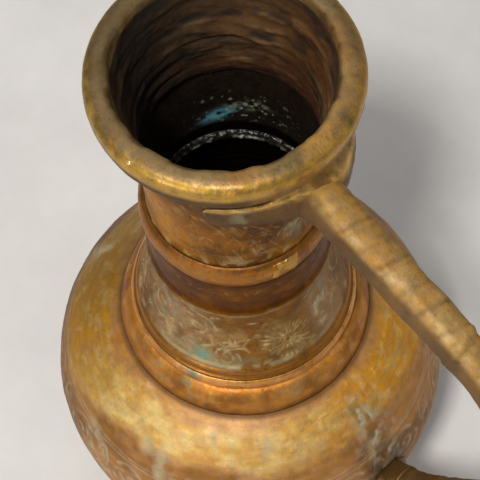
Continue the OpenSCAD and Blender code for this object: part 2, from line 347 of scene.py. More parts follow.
# ------------------------------------------------------------------ materials
def metal(name, bump=0.25, fine=0.5, mottle=0.5, sat=1.0, grain_m=0.0016):
    """Patinated metal. Col paints the colour; Surf holds metallic, roughness and grime; noise adds what is finer than the mesh."""
    m = bpy.data.materials.new(name)
    m.use_nodes = True
    nt = m.node_tree
    for n in list(nt.nodes):
        nt.nodes.remove(n)
    N, L = nt.nodes.new, nt.links.new
    out = N("ShaderNodeOutputMaterial")
    bs = N("ShaderNodeBsdfPrincipled")
    L(bs.outputs[0], out.inputs[0])
    col = N("ShaderNodeAttribute"); col.attribute_name = "Col"
    sf = N("ShaderNodeAttribute"); sf.attribute_name = "Surf"
    sep = N("ShaderNodeSeparateColor"); L(sf.outputs["Color"], sep.inputs[0])
    tc = N("ShaderNodeTexCoord")

    def noise(scale, detail=4.0, rough=0.6, dist=0.0, stretch=None):
        n = N("ShaderNodeTexNoise")
        n.inputs["Scale"].default_value = scale
        n.inputs["Detail"].default_value = detail
        n.inputs["Roughness"].default_value = rough
        n.inputs["Distortion"].default_value = dist
        if stretch:
            mp = N("ShaderNodeMapping")
            mp.inputs["Scale"].default_value = stretch
            L(tc.outputs["Object"], mp.inputs[0])
            L(mp.outputs[0], n.inputs["Vector"])
        else:
            L(tc.outputs["Object"], n.inputs["Vector"])
        return n

    def ramp(src, p0, p1, v0, v1):
        r = N("ShaderNodeMapRange")
        r.inputs["From Min"].default_value = p0
        r.inputs["From Max"].default_value = p1
        r.inputs["To Min"].default_value = v0
        r.inputs["To Max"].default_value = v1
        L(src, r.inputs["Value"])
        return r.outputs[0]

    def math_(op, a, b=None, v=None):
        n = N("ShaderNodeMath"); n.operation = op
        L(a, n.inputs[0])
        if b is not None:
            L(b, n.inputs[1])
        elif v is not None:
            n.inputs[1].default_value = v
        return n.outputs[0]

    big = noise(140, 5, 0.62, 0.4)
    mid = noise(420, 4, 0.6, 0.2)
    tiny = noise(1500, 3, 0.6)
    pit = N("ShaderNodeTexVoronoi"); pit.inputs["Scale"].default_value = 520
    pit.feature = "F1"
    L(tc.outputs["Object"], pit.inputs["Vector"])
    v1 = ramp(big.outputs[0], 0.3, 0.7, 1 - 0.28 * mottle, 1 + 0.22 * mottle)
    v2 = ramp(mid.outputs[0], 0.3, 0.7, 1 - 0.22 * mottle, 1 + 0.18 * mottle)
    v3 = ramp(tiny.outputs[0], 0.25, 0.75, 1 - 0.16 * fine, 1 + 0.12 * fine)
    val = math_("MULTIPLY", math_("MULTIPLY", v1, v2), v3)
    # small dark pits where the grime mask allows
    pm = ramp(pit.outputs["Distance"], 0.12, 0.3, 0.55, 1.0)
    spots = N("ShaderNodeMix"); spots.data_type = "FLOAT"
    spots.inputs[2].default_value = 1.0
    L(sep.outputs[2], spots.inputs[0]); L(pm, spots.inputs[3])
    val = math_("MULTIPLY", val, spots.outputs[0])
    mul = N("ShaderNodeVectorMath"); mul.operation = "SCALE"
    L(col.outputs["Color"], mul.inputs[0]); L(val, mul.inputs["Scale"])
    # warm and cool drift in the patina
    hue = N("ShaderNodeHueSaturation")
    hm = noise(210, 3, 0.55, 0.3)
    L(ramp(hm.outputs[0], 0.3, 0.7, 0.4955, 0.5045), hue.inputs["Hue"])
    L(ramp(mid.outputs[0], 0.3, 0.7, 0.94 * sat, 1.08 * sat), hue.inputs["Saturation"])
    L(mul.outputs[0], hue.inputs["Color"])
    L(hue.outputs[0], bs.inputs["Base Color"])
    L(sep.outputs[0], bs.inputs["Metallic"])
    ro = math_("ADD", sep.outputs[1], ramp(mid.outputs[0], 0.3, 0.7, -0.09, 0.09))
    ro = math_("ADD", ro, ramp(tiny.outputs[0], 0.3, 0.7, -0.05, 0.05))
    cl = N("ShaderNodeClamp"); cl.inputs["Min"].default_value = 0.12; cl.inputs["Max"].default_value = 0.97
    L(ro, cl.inputs[0]); L(cl.outputs[0], bs.inputs["Roughness"])
    bs.inputs["IOR"].default_value = 1.5
    bs.inputs["Specular IOR Level"].default_value = 0.5
    # relief finer than the mesh
    scr = noise(900, 2, 0.5, 0.0, (1.0, 1.0, 0.12))
    hsum = math_("ADD", math_("MULTIPLY", mid.outputs[0], v=0.9), math_("MULTIPLY", tiny.outputs[0], v=0.35))
    hsum = math_("ADD", hsum, math_("MULTIPLY", scr.outputs[0], v=0.25))
    b = N("ShaderNodeBump")
    b.inputs["Strength"].default_value = bump
    b.inputs["Distance"].default_value = grain_m * 0.25
    L(hsum, b.inputs["Height"])
    L(b.outputs[0], bs.inputs["Normal"])
    return m


M = {
    "rim": metal("cast_brass_rim", 0.45, 0.7, 0.7, 1.06),
    "liner": metal("oxidised_liner", 0.7, 0.9, 0.9),
    "neck": metal("engraved_neck", 0.45, 0.7, 0.7, 1.10),
    "band": metal("dark_band", 0.4, 0.6, 0.75, 1.10),
    "flare": metal("engraved_flare", 0.45, 0.7, 0.7, 1.0),
    "collar": metal("rubbed_collar", 0.4, 0.6, 0.7, 1.0),
    "body": metal("hammered_body", 0.35, 0.75, 0.55),
    "handle": metal("filed_handle", 0.5, 0.7, 0.6, 1.05),
    "solder": metal("solder_lumps", 0.8, 1.0, 0.9),
    "patch": metal("patch_plate", 0.4, 0.7, 0.5),
}

# the palette, as albedo
OLIVE = lin(118, 98, 62)
KHAKI = lin(158, 128, 78)
GOLD = lin(214, 172, 92)
YELLOW = lin(220, 172, 74)
PINK = lin(206, 150, 104)
ORANGE = lin(182, 116, 58)
COPPER = lin(150, 96, 54)
BROWN = lin(118, 74, 40)
DKBROWN = lin(76, 46, 27)
REDBR = lin(112, 60, 34)
BLACK = lin(22, 17, 12)
PALE = lin(188, 178, 150)
GREYGRN = lin(142, 140, 112)
VERD = lin(104, 142, 122)
TEAL = lin(84, 132, 138)


def surf(n, met, rough, grime=0.3):
    s = np.zeros((n, 3))
    s[:, 0], s[:, 1], s[:, 2] = met, rough, grime
    return s


def setm(s, k, m, v):
    s[:, k] = s[:, k] * (1 - np.clip(m, 0, 1)) + v * np.clip(m, 0, 1)


# ------------------------------------------------------------------ mouth ring
def bore_relief(B):
    """rough, uneven horizontal ridges on the inside of the mouth and neck"""
    z = B[:, 2]
    return (np.sin(z * 2 * np.pi / 6.4 + 3.4 * vnoise(B, 17, 8)) * 0.26 * sst(vnoise(B, 13, 9), -0.5, 0.6)
            + 0.62 * fbm(B * np.array([0.42, 0.42, 1.2]), 5.6, 4, 12) + 0.5 * sst(fbm(B * np.array([0.3, 0.3, 1.1]), 8.5, 3, 14), 0.15, 0.55))


def bore_colour(B, az):
    f = fbm(B * np.array([0.5, 0.5, 1.5]), 7, 4, 47)
    rid = bore_relief(B)
    c = np.tile(lin(100, 73, 50), (len(B), 1))
    c = mixc(c, lin(82, 48, 28), np.exp(-(angd(az, 74) / 32) ** 2) * 0.85)
    c = mixc(c, BLACK * 1.3, sst(f, -0.1, 0.6) * 0.78)
    # painted highlights on the ridges of the upper wall, strongest at the back
    c = mixc(c, lin(172, 134, 96), sst(rid, 0.15, 0.8) * sst(B[:, 2], 268, 276) * (0.22 + 0.68 * np.exp(-(angd(az, 132) / 25) ** 2)))
    c = mixc(c, lin(96, 48, 26), band(B[:, 2], 266, 275, 3.0) * 0.5)
    # darkened on the left by painted shade
    return c * (1 - 0.86 * np.exp(-(angd(az, -162) / 50) ** 2))[:, None], rid


def brushed(L, r, along, across, seed):
    """fine marks that run round the vessel"""
    return vnoise(np.stack([L.th * r / along, (L.z + L.r) / across, np.zeros(len(L.th))], 1), 1.0, seed)


def make_rim():
    top = [(34.5, 287.9), (37.3, 288.2), (38.8, 290.6), (41.2, 294.8), (43.9, 299.0), (46.3, 302.6), (48.1, 306.2), (49.15, 309.9), (49.25, 313.2),
           (48.75, 315.6), (47.5, 317.3), (45.7, 318.2), (43.6, 318.55), (41.8, 318.45), (40.55, 317.9), (39.95, 316.7)]
    inner = [(39.95, 316.7), (39.3, 313.6), (38.2, 306), (36.9, 298), (35.3, 291.6), (34.5, 287.9)]
    P, T = loop((top[:2], 1.0, False), (top[1:], 0.55, True), (inner, 0.6, True))
    L = Lathe(P, T, 640)
    B = L.base
    az = L.az
    inside = (L.part == 2).astype(float)
    edge = np.exp(-((L.r - 40.3) / 1.5) ** 2) * (L.z > 315.5)
    # wavy, nicked inner edge, worst at the front
    front = 0.45 + 0.55 * np.exp(-(angd(az, -50) / 75) ** 2)
    th3 = np.stack([np.cos(L.th) * 40, np.sin(L.th) * 40, np.zeros(len(az))], 1)
    wob = 0.62 * vnoise(th3, 6.5, 3) + 0.5 * vnoise(th3, 3.1, 4) + 0.3 * vnoise(th3, 12.5, 11)
    L.dr += edge * wob * front * 0.95
    L.dz += edge * (vnoise(th3, 5.0, 21) * 0.28 - 0.1) * front
    # soft dents in the casting, a file's flats on the crown
    L.d += 0.16 * fbm(B, 13, 3, 1) + 0.06 * fbm(B, 3.2, 2, 6)
    L.d += -0.10 * np.clip(1 - cells(B, 7.0, 2) * 1.6, 0, 1) * (1 - inside)
    # turned ridges inside, rough and uneven
    ridge = np.sin(L.z * 2 * np.pi / 6.4 + 3.4 * vnoise(B, 17, 8)) * 0.30 * sst(vnoise(B, 13, 9), -0.5, 0.6) + 0.62 * fbm(B * np.array([0.45, 0.45, 1.15]), 5.2, 4, 12)
    ridge = bore_relief(B)
    L.d += inside * sst(315.5 - L.z, 0, 4) * ridge
    # a crack line across the crown at the back right
    crack = np.exp(-((angd(az, 122) * 0.78 + (L.r - 44) * 0.35) / 0.30) ** 2) * (L.z > 312) * (1 - inside)
    L.d -= 0.35 * crack
    n = len(az)
    fb1, fb2 = fbm(B, 11, 4, 40), fbm(B, 3.6, 3, 41)
    c = np.tile(OLIVE * 1.0, (n, 1))
    c = mixc(c, KHAKI, sst(fb1, -0.5, 0.6) * 0.62)
    c = mixc(c, lin(96, 86, 70), sst(fb2, 0.15, 0.9) * 0.45)
    c = mixc(c, lin(150, 104, 60), sst(fbm(B, 17, 3, 44), 0.1, 0.8) * 0.5)
    # outer shoulder of the bead painted bright as a highlight, and given a smoother, more metallic finish
    outer_highlight = band(L.z, 311.5, 317.4, 1.3) * (L.r > 46.3)
    c = mixc(c, GOLD, outer_highlight * (0.55 + 0.35 * fb2))
    crown = band(L.r, 40.6, 46.4, 0.8) * (L.z > 316.5)
    c = mixc(c, lin(116, 100, 76), crown * (0.45 + 0.4 * fb1))
    c = mixc(c, lin(132, 92, 54), crown * sst(fbm(B, 8, 3, 45), 0.0, 0.7) * 0.5)
    # painted shade on the lower outer side of the bead, down to the neck, with a few lighter patches in it
    under = sst(312.6 - L.z, -0.8, 3.0) * (1 - inside)
    c = mixc(c, lin(70, 47, 24), under * (0.9 + 0.1 * fb1))
    c = mixc(c, lin(150, 116, 62), band(L.z, 300, 306, 2) * under * sst(fb2, 0.0, 0.7) * 0.35)
    c = mixc(c, DKBROWN, edge * sst(wob, -0.2, 0.5) * 0.55)
    ins = inside * sst(317.2 - L.z, 0.4, 3.6)
    # the bore's colour, with painted shade towards the top of the inner wall under the lip
    bc = bore_colour(B, az)[0] * (0.72 + 0.28 * sst(306 - L.z, 0, 14))[:, None]
    c = c * (1 - ins[:, None]) + bc * ins[:, None]
    c = mixc(c, BLACK, crack * 0.9)
    # painted shade on the back left of the ring
    rim_back_left_shade = np.exp(-(angd(az, -150) / 34) ** 2) * (1 - inside)
    c = c * (1 - 0.42 * rim_back_left_shade)[:, None]
    c = mixc(c, lin(186, 142, 80), np.exp(-(angd(az, -4) / 38) ** 2) * (1 - inside) * (L.z > 306) * sst(fb1, -0.7, 0.4) * 0.6)
    s = surf(n, 0.66, 0.52, 0.45)
    setm(s, 1, outer_highlight, 0.4)
    setm(s, 0, outer_highlight, 0.85)
    setm(s, 1, ins, 0.78)
    setm(s, 0, ins, 0.35)
    setm(s, 1, under, 0.62)
    setm(s, 1, sst(fb2, 0.15, 0.9) * 0.5, 0.7)
    o = L.build("mouth_ring", c, s, M["rim"])
    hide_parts("rim_ring")


def dome(name, mat, col, surf_, axis_o, axis_d, prof, nu=32, jitter=0.06, seed=1):
    """a small turned piece standing on axis_o along axis_d; prof is (r, h) and closes on the axis"""
    P = np.array(prof, float)
    th = np.linspace(0, 2 * np.pi, nu, endpoint=False)
    d = np.array(axis_d, float); d /= np.linalg.norm(d)
    a = np.cross(d, [0, 0, 1.0]) if abs(d[2]) < 0.9 else np.cross(d, [1.0, 0, 0])
    a /= np.linalg.norm(a); b = np.cross(d, a)
    V = [np.array(axis_o, float) + d * P[0][1]]
    for r, h in P[1:-1]:
        for t in th:
            V.append(np.array(axis_o, float) + d * h + (a * math.cos(t) + b * math.sin(t)) * r)
    V.append(np.array(axis_o, float) + d * P[-1][1])
    V = np.array(V)
    V = V + jitter * np.stack([vnoise(V, 1.6, seed + k) for k in range(3)], 1)
    F = []
    m = len(P) - 2
    for j in range(nu):
        F.append((0, 1 + (j + 1) % nu, 1 + j))
    for i in range(m - 1):
        for j in range(nu):
            q = 1 + i * nu
            F.append((q + j, q + (j + 1) % nu, q + nu + (j + 1) % nu, q + nu + j))
    q = 1 + (m - 1) * nu
    for j in range(nu):
        F.append((q + j, q + (j + 1) % nu, len(V) - 1))
    return V, F


def add_piece(name, parts, col, sfc, mat):
    VV, FF, k = [], [], 0
    for V, F in parts:
        VV.append(V)
        FF += [tuple(i + k for i in f) for f in F]
        k += len(V)
    V = np.vstack(VV)
    n = len(V)
    C = col(V) if callable(col) else np.tile(col, (n, 1))
    S = sfc(V) if callable(sfc) else surf(n, *sfc)
    o = put(name, V, FF, C, S, mat)
    import bmesh
    bm = bmesh.new(); bm.from_mesh(o.data)
    bmesh.ops.recalc_face_normals(bm, faces=bm.faces)
    bm.to_mesh(o.data); bm.free()
    return o


def make_pin():
    a = math.radians(-84.5)
    tilt = math.radians(24)
    d = np.array([math.cos(a) * math.sin(tilt), math.sin(a) * math.sin(tilt), math.cos(tilt)])
    o0 = np.array([47.2 * math.cos(a), 47.2 * math.sin(a), 316.2])
    prof = [(0, -2.4), (0.9, -2.4), (1.0, -0.4), (1.25, 0.05), (1.22, 0.4), (1.0, 0.72), (0.6, 0.93), (0.25, 1.0), (0, 1.02)]
    o = add_piece("rim_rivet", [dome("p", None, None, None, o0, d, prof, 28, 0.08, 3)],
                  lambda V: mixc(np.tile(lin(236, 206, 168), (len(V), 1)), lin(150, 118, 80), sst(vnoise(V, 0.9, 4), 0.1, 0.8)), (0.55, 0.3, 0.2), M["patch"])
    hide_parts("rim_pin")


# ------------------------------------------------------------------ neck, inside
def make_liner():
    inner = [(36.9, 294.6), (35.75, 293.2), (35.05, 291.0), (34.5, 287.9), (34.1, 284), (34.25, 280), (33.9, 276), (34.15, 272), (33.85, 268.5), (33.95, 266.4), (34.25, 265.7), (34.8, 266.0)]
    P, T = loop((inner, 0.5, True), ([(34.8, 266.0), (34.95, 287.9)], 1.2, False), ([(34.95, 287.9), (36.2, 292.0), (36.9, 294.6)], 0.8, False))
    L = Lathe(P, T, 480)
    B = L.base
    ins = (L.nr < 0.3).astype(float)
    rid = bore_relief(B)
    L.d += ins * (rid * sst(L.z, 265.8, 268) - 0.1)
    low = sst(268.4 - L.z, 0, 2.0)
    L.dz += low * (0.45 * fbm(B, 6, 2, 15) + 0.25 * vnoise(B, 2.0, 16))
    n = len(B)
    c = bore_colour(B, L.az)[0]
    c = mixc(c, lin(96, 52, 30), low * 0.6)
    # painted shade, darker towards the bottom of the sleeve
    c = c * (1 - 0.5 * sst(275 - L.z, -2, 7))[:, None]
    s = surf(n, 0.35, 0.75, 0.6)
    o = L.build("neck_liner_sleeve", c, s, M["liner"])
    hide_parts("neck_liner")


def make_neck_upper():
    outer = [(35.6, 229.3), (35.6, 235.8), (35.35, 238.6), (35.05, 242), (34.9, 247), (35.15, 253), (35.9, 260.3), (36.6, 267.5), (37.0, 273), (37.05, 280), (37.0, 287.9)]
    inner = [(35.05, 287.9), (35.05, 266), (34.4, 261), (33.7, 254), (33.4, 247), (33.65, 241), (34.0, 236), (34.0, 229.3)]
    P, T = loop((outer, 0.55, True), ([(37.0, 287.9), (35.05, 287.9)], 1, False), (inner, 0.75, True), ([(34.0, 229.3), (35.6, 229.3)], 0.8, False))
    L = Lathe(P, T, 500)
    B = L.base
    out = (L.part == 0)
    if not out.any() or L.r[out].mean() < 35:
        out = L.nr > 0.5
    o1 = out.astype(float)
    n = len(B)
    # chased leaves round the waist, and a ring line above and below them
    mot = []
    k = 22
    for i in range(k):
        a = -180 + (i + 0.35) * 360 / k
        mot.append((a, 252.5, petal(6.8, 0.55), 7 * math.sin(3.1 * i)))
        mot.append((a + 180 / k, 262.5, arcs_small(), 10 * math.sin(1.7 * i)))
    eng = place(L, out, mot, 35)
    hat = np.zeros(n)
    lines = np.exp(-((L.z - 243.4 - 0.3 * vnoise(B, 9, 3)) / 0.42) ** 2) + np.exp(-((L.z - 241.6 - 0.3 * vnoise(B, 9, 3)) / 0.36) ** 2)
    eng = np.clip(eng + 0.8 * lines * o1, 0, 1)
    # light random graver nicks
    nick = sst(vnoise(B * np.array([1.0, 1.0, 0.45]), 1.25, 71), 0.52, 0.8) * sst(fbm(B, 12, 2, 73), -0.2, 0.5)
    L.d += o1 * (0.14 * fbm(B, 10, 3, 1) - 0.30 * eng - 0.16 * nick - 0.10 * np.clip(1 - cells(B, 6.0, 2) * 1.5, 0, 1))
    # crust of deposit where the tube meets the bead
    crust = band(L.z, 236.2, 240.2, 1.6) * sst(fbm(B, 5, 4, 60), 0.0, 0.7) * o1
    L.d += crust * 0.35 * (0.6 + 0.6 * vnoise(B, 1.1, 61))
    f1, f2 = fbm(B, 13, 4, 52), fbm(B, 4, 3, 53)
    c = np.tile(lin(146, 98, 50), (n, 1))
    c = mixc(c, lin(170, 128, 76), sst(f1, -0.2, 0.8) * 0.75)
    c = mixc(c, lin(96, 56, 28), sst(fbm(B, 9, 3, 54), -0.05, 0.5) * 0.75)
    c = mixc(c, DKBROWN * 0.9, sst(fbm(B, 15, 3, 55), 0.0, 0.6) * 0.7)
    c = mixc(c, lin(156, 112, 60), band(L.z, 236, 242.5, 1.5) * 0.5)
    # in the shade of the mouth ring it stays dark, in front to the handle
    c = mixc(c, DKBROWN, sst(L.z, 262, 274) * 0.75)
    c = mixc(c, lin(84, 50, 26), np.exp(-(angd(L.az, -32) / 17) ** 2) * sst(f1, -0.9, 0.2) * 0.85)
    c = mixc(c, lin(192, 134, 68), np.exp(-(angd(L.az, -94) / 25) ** 2) * band(L.z, 240, 278, 6) * 0.75)
    scr = vnoise(np.stack([L.th * 35 / 0.9 + L.z * 0.5, L.z / 4.5, np.zeros(n)], 1), 1.0, 161)
    c = mixc(c, lin(176, 146, 104), sst(scr, 0.45, 0.8) * o1 * 0.4)
    c = mixc(c, lin(172, 148, 108), np.clip(eng, 0, 1) * sst(f2, -0.35, 0.45) * 0.5)
    c = mixc(c, lin(66, 38, 22), nick * 0.5)
    pal = sst(fbm(B, 5.2, 3, 57), 0.28, 0.85) * sst(fbm(B, 20, 2, 58), -0.3, 0.5)
    c = mixc(c, lin(146, 134, 100), pal * 0.6)
    c = mixc(c, lin(160, 140, 96), crust * 0.6)
    oval = np.exp(-((angd(L.az, -40) / 6.5) ** 2 + ((L.z - 241.5) / 1.5) ** 2)) + np.exp(-((angd(L.az, -26) / 4.5) ** 2 + ((L.z - 245) / 1.6) ** 2)) + 0.8 * np.exp(-((angd(L.az, -1) / 6.0) ** 2 + ((L.z - 254) / 4.0) ** 2))
    c = mixc(c, lin(158, 150, 122), o1 * np.clip(oval, 0, 1) * sst(f2, -0.6, 0.2) * 0.7)
    c = mixc(c, GREYGRN, np.exp(-(angd(L.az, 2) / 12) ** 2) * band(L.z, 244, 262, 5) * sst(f2, -0.4, 0.5) * 0.5)
    # inside of the tube painted black as shade
    c = mixc(c, BLACK, (1 - o1) * 0.97)
    # verdigris on the far wall inside
    w0 = 1 - o1
    sl = L.z - (236.5 + 0.16 * angd(146, L.az))
    tq = np.exp(-((angd(L.az, 147) / 9.5) ** 2 + (sl / 3.0) ** 2)) * sst(fbm(B, 3.2, 3, 62), -0.6, 0.3)
    pq = np.exp(-((angd(L.az, 127) / 12) ** 2 + ((L.z - 242 + 0.10 * angd(L.az, 127)) / 2.8) ** 2)) * sst(fbm(B, 2.8, 3, 64), -0.3, 0.4)
    c = mixc(c, lin(128, 190, 206), w0 * np.clip(tq * 1.8, 0, 1))
    c = mixc(c, lin(176, 186, 160), w0 * np.clip(pq * 1.7, 0, 1) * 0.9)
    c = mixc(c, lin(206, 214, 206), w0 * np.exp(-(angd(L.az, 130) / 30) ** 2) * band(L.z, 232, 250, 4) * sst(vnoise(B, 1.4, 63), 0.62, 0.8) * 0.8)
    s = surf(n, 0.86, 0.52, 0.5)
    setm(s, 1, crust + pal + eng * 0.6, 0.8)
    setm(s, 0, crust + pal * 0.8 + eng * 0.4, 0.15)
    setm(s, 0, 1 - o1, 0.25); setm(s, 1, 1 - o1, 0.55)
    o = L.build("neck_tube_upper", c, s, M["neck"])
    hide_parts("neck_upper")


def arcs_small():
    return [(arc(0, -1.2, 2.6, 2.6, 20, 160, 8), 0.42), (arc(0, 0.6, 2.0, 2.0, 25, 155, 8), 0.36), ([(0, 2.9), (0, 4.6)], 0.4)]


def make_bead():
    pts = [(35.7, 222.0), (37.2, 222.1)]
    a = [(35.6 + 3.2 * math.cos(math.radians(t)), 229 + 7 * math.sin(math.radians(t))) for t in range(-62, 91, 8)]
    a.append((35.7, 236.0))
    P, T = loop((pts, 0.6, False), ([pts[1]] + a, 0.5, True), ([(35.7, 236.0), (35.7, 222.0)], 2.0, False))
    L = Lathe(P, T, 620)
    B = L.base
    o1 = (L.nr > -0.2).astype(float) * sst(L.r, 35.8, 36.6)
    L.d += o1 * (0.18 * fbm(B, 12, 3, 2) + 0.05 * fbm(B, 3, 2, 5) - 0.10 * np.clip(1 - cells(B, 6.5, 8) * 1.5, 0, 1))
    n = len(B)
    f1, f2 = fbm(B, 12, 4, 80), fbm(B, 3.4, 3, 81)
    c = np.tile(lin(150, 98, 44), (n, 1))
    # painted highlight along the upper swell of the bead
    c = mixc(c, lin(178, 122, 62), band(L.z, 228.5, 233.5, 2.0) * (0.6 + 0.3 * f1))
    c = mixc(c, COPPER, sst(f1, 0.0, 0.8) * 0.55)
    c = mixc(c, lin(112, 70, 34), sst(fbm(B, 7, 3, 84), 0.0, 0.6) * 0.6)
    c = c * (1 + 0.13 * brushed(L, 36, 7.0, 0.7, 88))[:, None]
    c = mixc(c, REDBR * 0.8, sst(226.5 - L.z, -0.5, 4.0) * 0.85)
    c = mixc(c, DKBROWN, sst(L.z, 233.8, 236) * 0.6)
    c = mixc(c, lin(98, 60, 30), sst(vnoise(B, 1.3, 82), 0.5, 0.8) * 0.35)
    s = surf(n, 0.7, 0.48, 0.35)
    setm(s, 1, sst(226 - L.z, -0.5, 4.0), 0.55)
    o = L.build("neck_bead", c, s, M["collar"])
    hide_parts("neck_bead_ring")


def make_patch():
    """the repair plate, bedded on the bead"""
    nu, nv = 56, 30
    u = np.linspace(0, 1, nu)[None, :].repeat(nv, 0).ravel()
    v = np.linspace(0, 1, nv)[:, None].repeat(nu, 1).ravel()
    az = np.radians(-21.5 + 16.5 * u + 1.5 * (v - 0.5))
    t = np.radians(-28 + 84 * v)
    ed = np.minimum(np.minimum(u, 1 - u) * 11.5, np.minimum(v, 1 - v) * 8.5)
    ragged = np.stack([u * 12, v * 9, np.zeros(len(u))], 1)
    h = 0.42 * sst(ed + 0.35 * vnoise(ragged, 1.7, 2), 0.0, 1.0) + 0.12 * vnoise(ragged, 2.4, 6) * sst(ed, 0.3, 1.4) - 0.08
    r = 35.6 + (3.2 + h) * np.cos(t)
    z = 229 + (7 + h) * np.sin(t)
    top = np.stack([r * np.cos(az), r * np.sin(az), z], 1)
    r2, z2 = 35.6 + 2.7 * np.cos(t), 229 + 6.5 * np.sin(t)
    bot = np.stack([r2 * np.cos(az), r2 * np.sin(az), z2], 1)
    F = [tuple(q) for q in quads(nv, nu, False, False)]
    k = nu * nv
    F += [tuple(int(i) + k for i in q[::-1]) for q in quads(nv, nu, False, False)]
    ring = list(range(nu)) + [nu * i + nu - 1 for i in range(1, nv)] + list(range(nu * nv - 2, nu * (nv - 1) - 1, -1)) + [nu * i for i in range(nv - 2, 0, -1)]
    for a, b in zip(ring, ring[1:] + ring[:1]):
        F.append((a, a + k, b + k, b))

    def col(V):
        c = np.tile(lin(190, 146, 70), (len(V), 1))
        c = mixc(c, lin(206, 170, 98), sst(vnoise(V, 2.2, 5), -0.2, 0.6) * 0.7)
        return mixc(c, lin(150, 98, 46), sst(fbm(V, 3.4, 3, 7), -0.1, 0.6) * 0.85)
    o = add_piece("bead_repair_plate", [(warp(np.vstack([top, bot])), F)], col, (0.85, 0.42, 0.4), M["patch"])
    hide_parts("bead_patch")


def make_seam():
    P = np.array([(33.98 - 2.35 * math.cos(math.radians(a)), 220.4 + 3 * math.sin(math.radians(a))) for a in range(-90, 91, 9)])
    P, T = loop((P, 0.35, True), ([(33.98, 223.4), (33.98, 217.4)], 1.5, False))
    L = Lathe(P, T, 420)
    B = L.base
    ins = (L.nr < 0.4).astype(float)
    lump = sst(vnoise(B, 2.6, 3), -0.1, 0.7)
    L.d += ins * (0.45 * lump + 0.35 * vnoise(B, 1.2, 5) - 0.15)
    n = len(B)
    # painted dark as shade, save for the seam's line
    c = np.tile(lin(30, 29, 22), (n, 1))
    line = np.exp(-((L.z - 221.0) / 0.95) ** 2)
    c = mixc(c, lin(138, 148, 122), line * sst(vnoise(B, 2.4, 9), -0.1, 0.5) * 0.8)
    # painted highlight beads on the line, brightest at the back
    c = mixc(c, lin(226, 228, 220), line * sst(vnoise(B, 1.7, 10), 0.3, 0.55) * (0.25 + 0.75 * np.exp(-(angd(L.az, 112) / 20) ** 2)))
    c = mixc(c, BLACK, (1 - line) * 0.85)
    s = surf(n, 0.1, 0.35, 0.4)
    o = L.build("neck_solder_ring", c, s, M["solder"])
    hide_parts("neck_seam_ring")


def make_neck_lower():
    outer = [(36.45, 197.25), (38.5, 197.25), (38.8, 197.7), (38.75, 198.8), (38.2, 200.2), (37.4, 202.2), (37.15, 206), (37.1, 210), (37.25, 217), (37.2, 221.9), (35.6, 222.0)]
    P, T = loop((outer[:2], 0.5, False), (outer[1:10], 0.5, True), (outer[9:], 0.6, False), ([(35.6, 222), (35.6, 229.1), (34.0, 229.1), (34.0, 216.8), (35.2, 214), (35.2, 201.2), (36.45, 201.0), (36.45, 197.25)], 1.3, False))
    L = Lathe(P, T, 620)
    B = L.base
    o1 = ((L.part == 1) | (L.nr > 0.5)).astype(float) * (L.r > 36.6)
    n = len(B)
    # a row of small punched arcs
    mot = [(-180 + (i + 0.5) * 360 / 30, 214.8, [(arc(0, -2.2, 3.3, 3.3, 25, 155, 8), 0.45), (arc(0, -2.2, 1.9, 1.9, 30, 150, 6), 0.36)], 5 * math.sin(2.2 * i)) for i in range(30)]
    eng = place(L, o1 > 0.5, mot, 37)
    ring = np.exp(-((L.z - 204.3) / 0.35) ** 2) + np.exp(-((L.z - 219.6) / 0.35) ** 2)
    nick = sst(vnoise(B * np.array([1.0, 1.0, 0.5]), 1.3, 31), 0.55, 0.8)
    L.d += o1 * (0.13 * fbm(B, 10, 3, 1) - 0.22 * eng - 0.2 * ring - 0.12 * nick)
    low = band(L.z, 197.0, 199.4, 0.8) * (L.r > 37.8)
    L.dr += low * 0.18 * fbm(B, 4, 2, 33)
    f1, f2 = fbm(B, 12, 4, 85), fbm(B, 3.6, 3, 86)
    c = np.tile(lin(104, 62, 28), (n, 1))
    c = mixc(c, lin(84, 46, 22), sst(f1, -0.1, 0.7) * 0.7)
    c = mixc(c, lin(142, 94, 50), sst(fbm(B, 8, 3, 87), 0.1, 0.9) * 0.6)
    c = c * (1 + 0.14 * brushed(L, 37, 6.0, 0.8, 188))[:, None]
    # painted shade under the bead
    c = mixc(c, DKBROWN * 0.85, sst(L.z, 217, 221.5) * 0.8)
    c = mixc(c, PALE, eng * sst(f2, -0.3, 0.6) * 0.5)
    c = mixc(c, lin(148, 112, 70), low * 0.5)
    c = mixc(c, lin(170, 160, 132), low * sst(f2, -0.1, 0.5) * sst(198.8 - L.z, 0, 1.2) * 0.75)
    # inner faces painted black as shade
    c = mixc(c, BLACK, (L.r < 36.4).astype(float) * 0.95)
    s = surf(n, 0.93, 0.48, 0.45)
    setm(s, 1, eng * 0.5 + low * 0.5, 0.7)
    core = ((L.r < 36.4) & (L.z < 229.3)).astype(float)
    setm(s, 0, core, 0.96); setm(s, 1, core, 0.8); setm(s, 2, core, 0.0)
    # darker still inside the tube, as shade
    c = c * (1 - 0.6 * core)[:, None]
    o = L.build("neck_band_lower", c, s, M["band"])
    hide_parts("neck_lower")


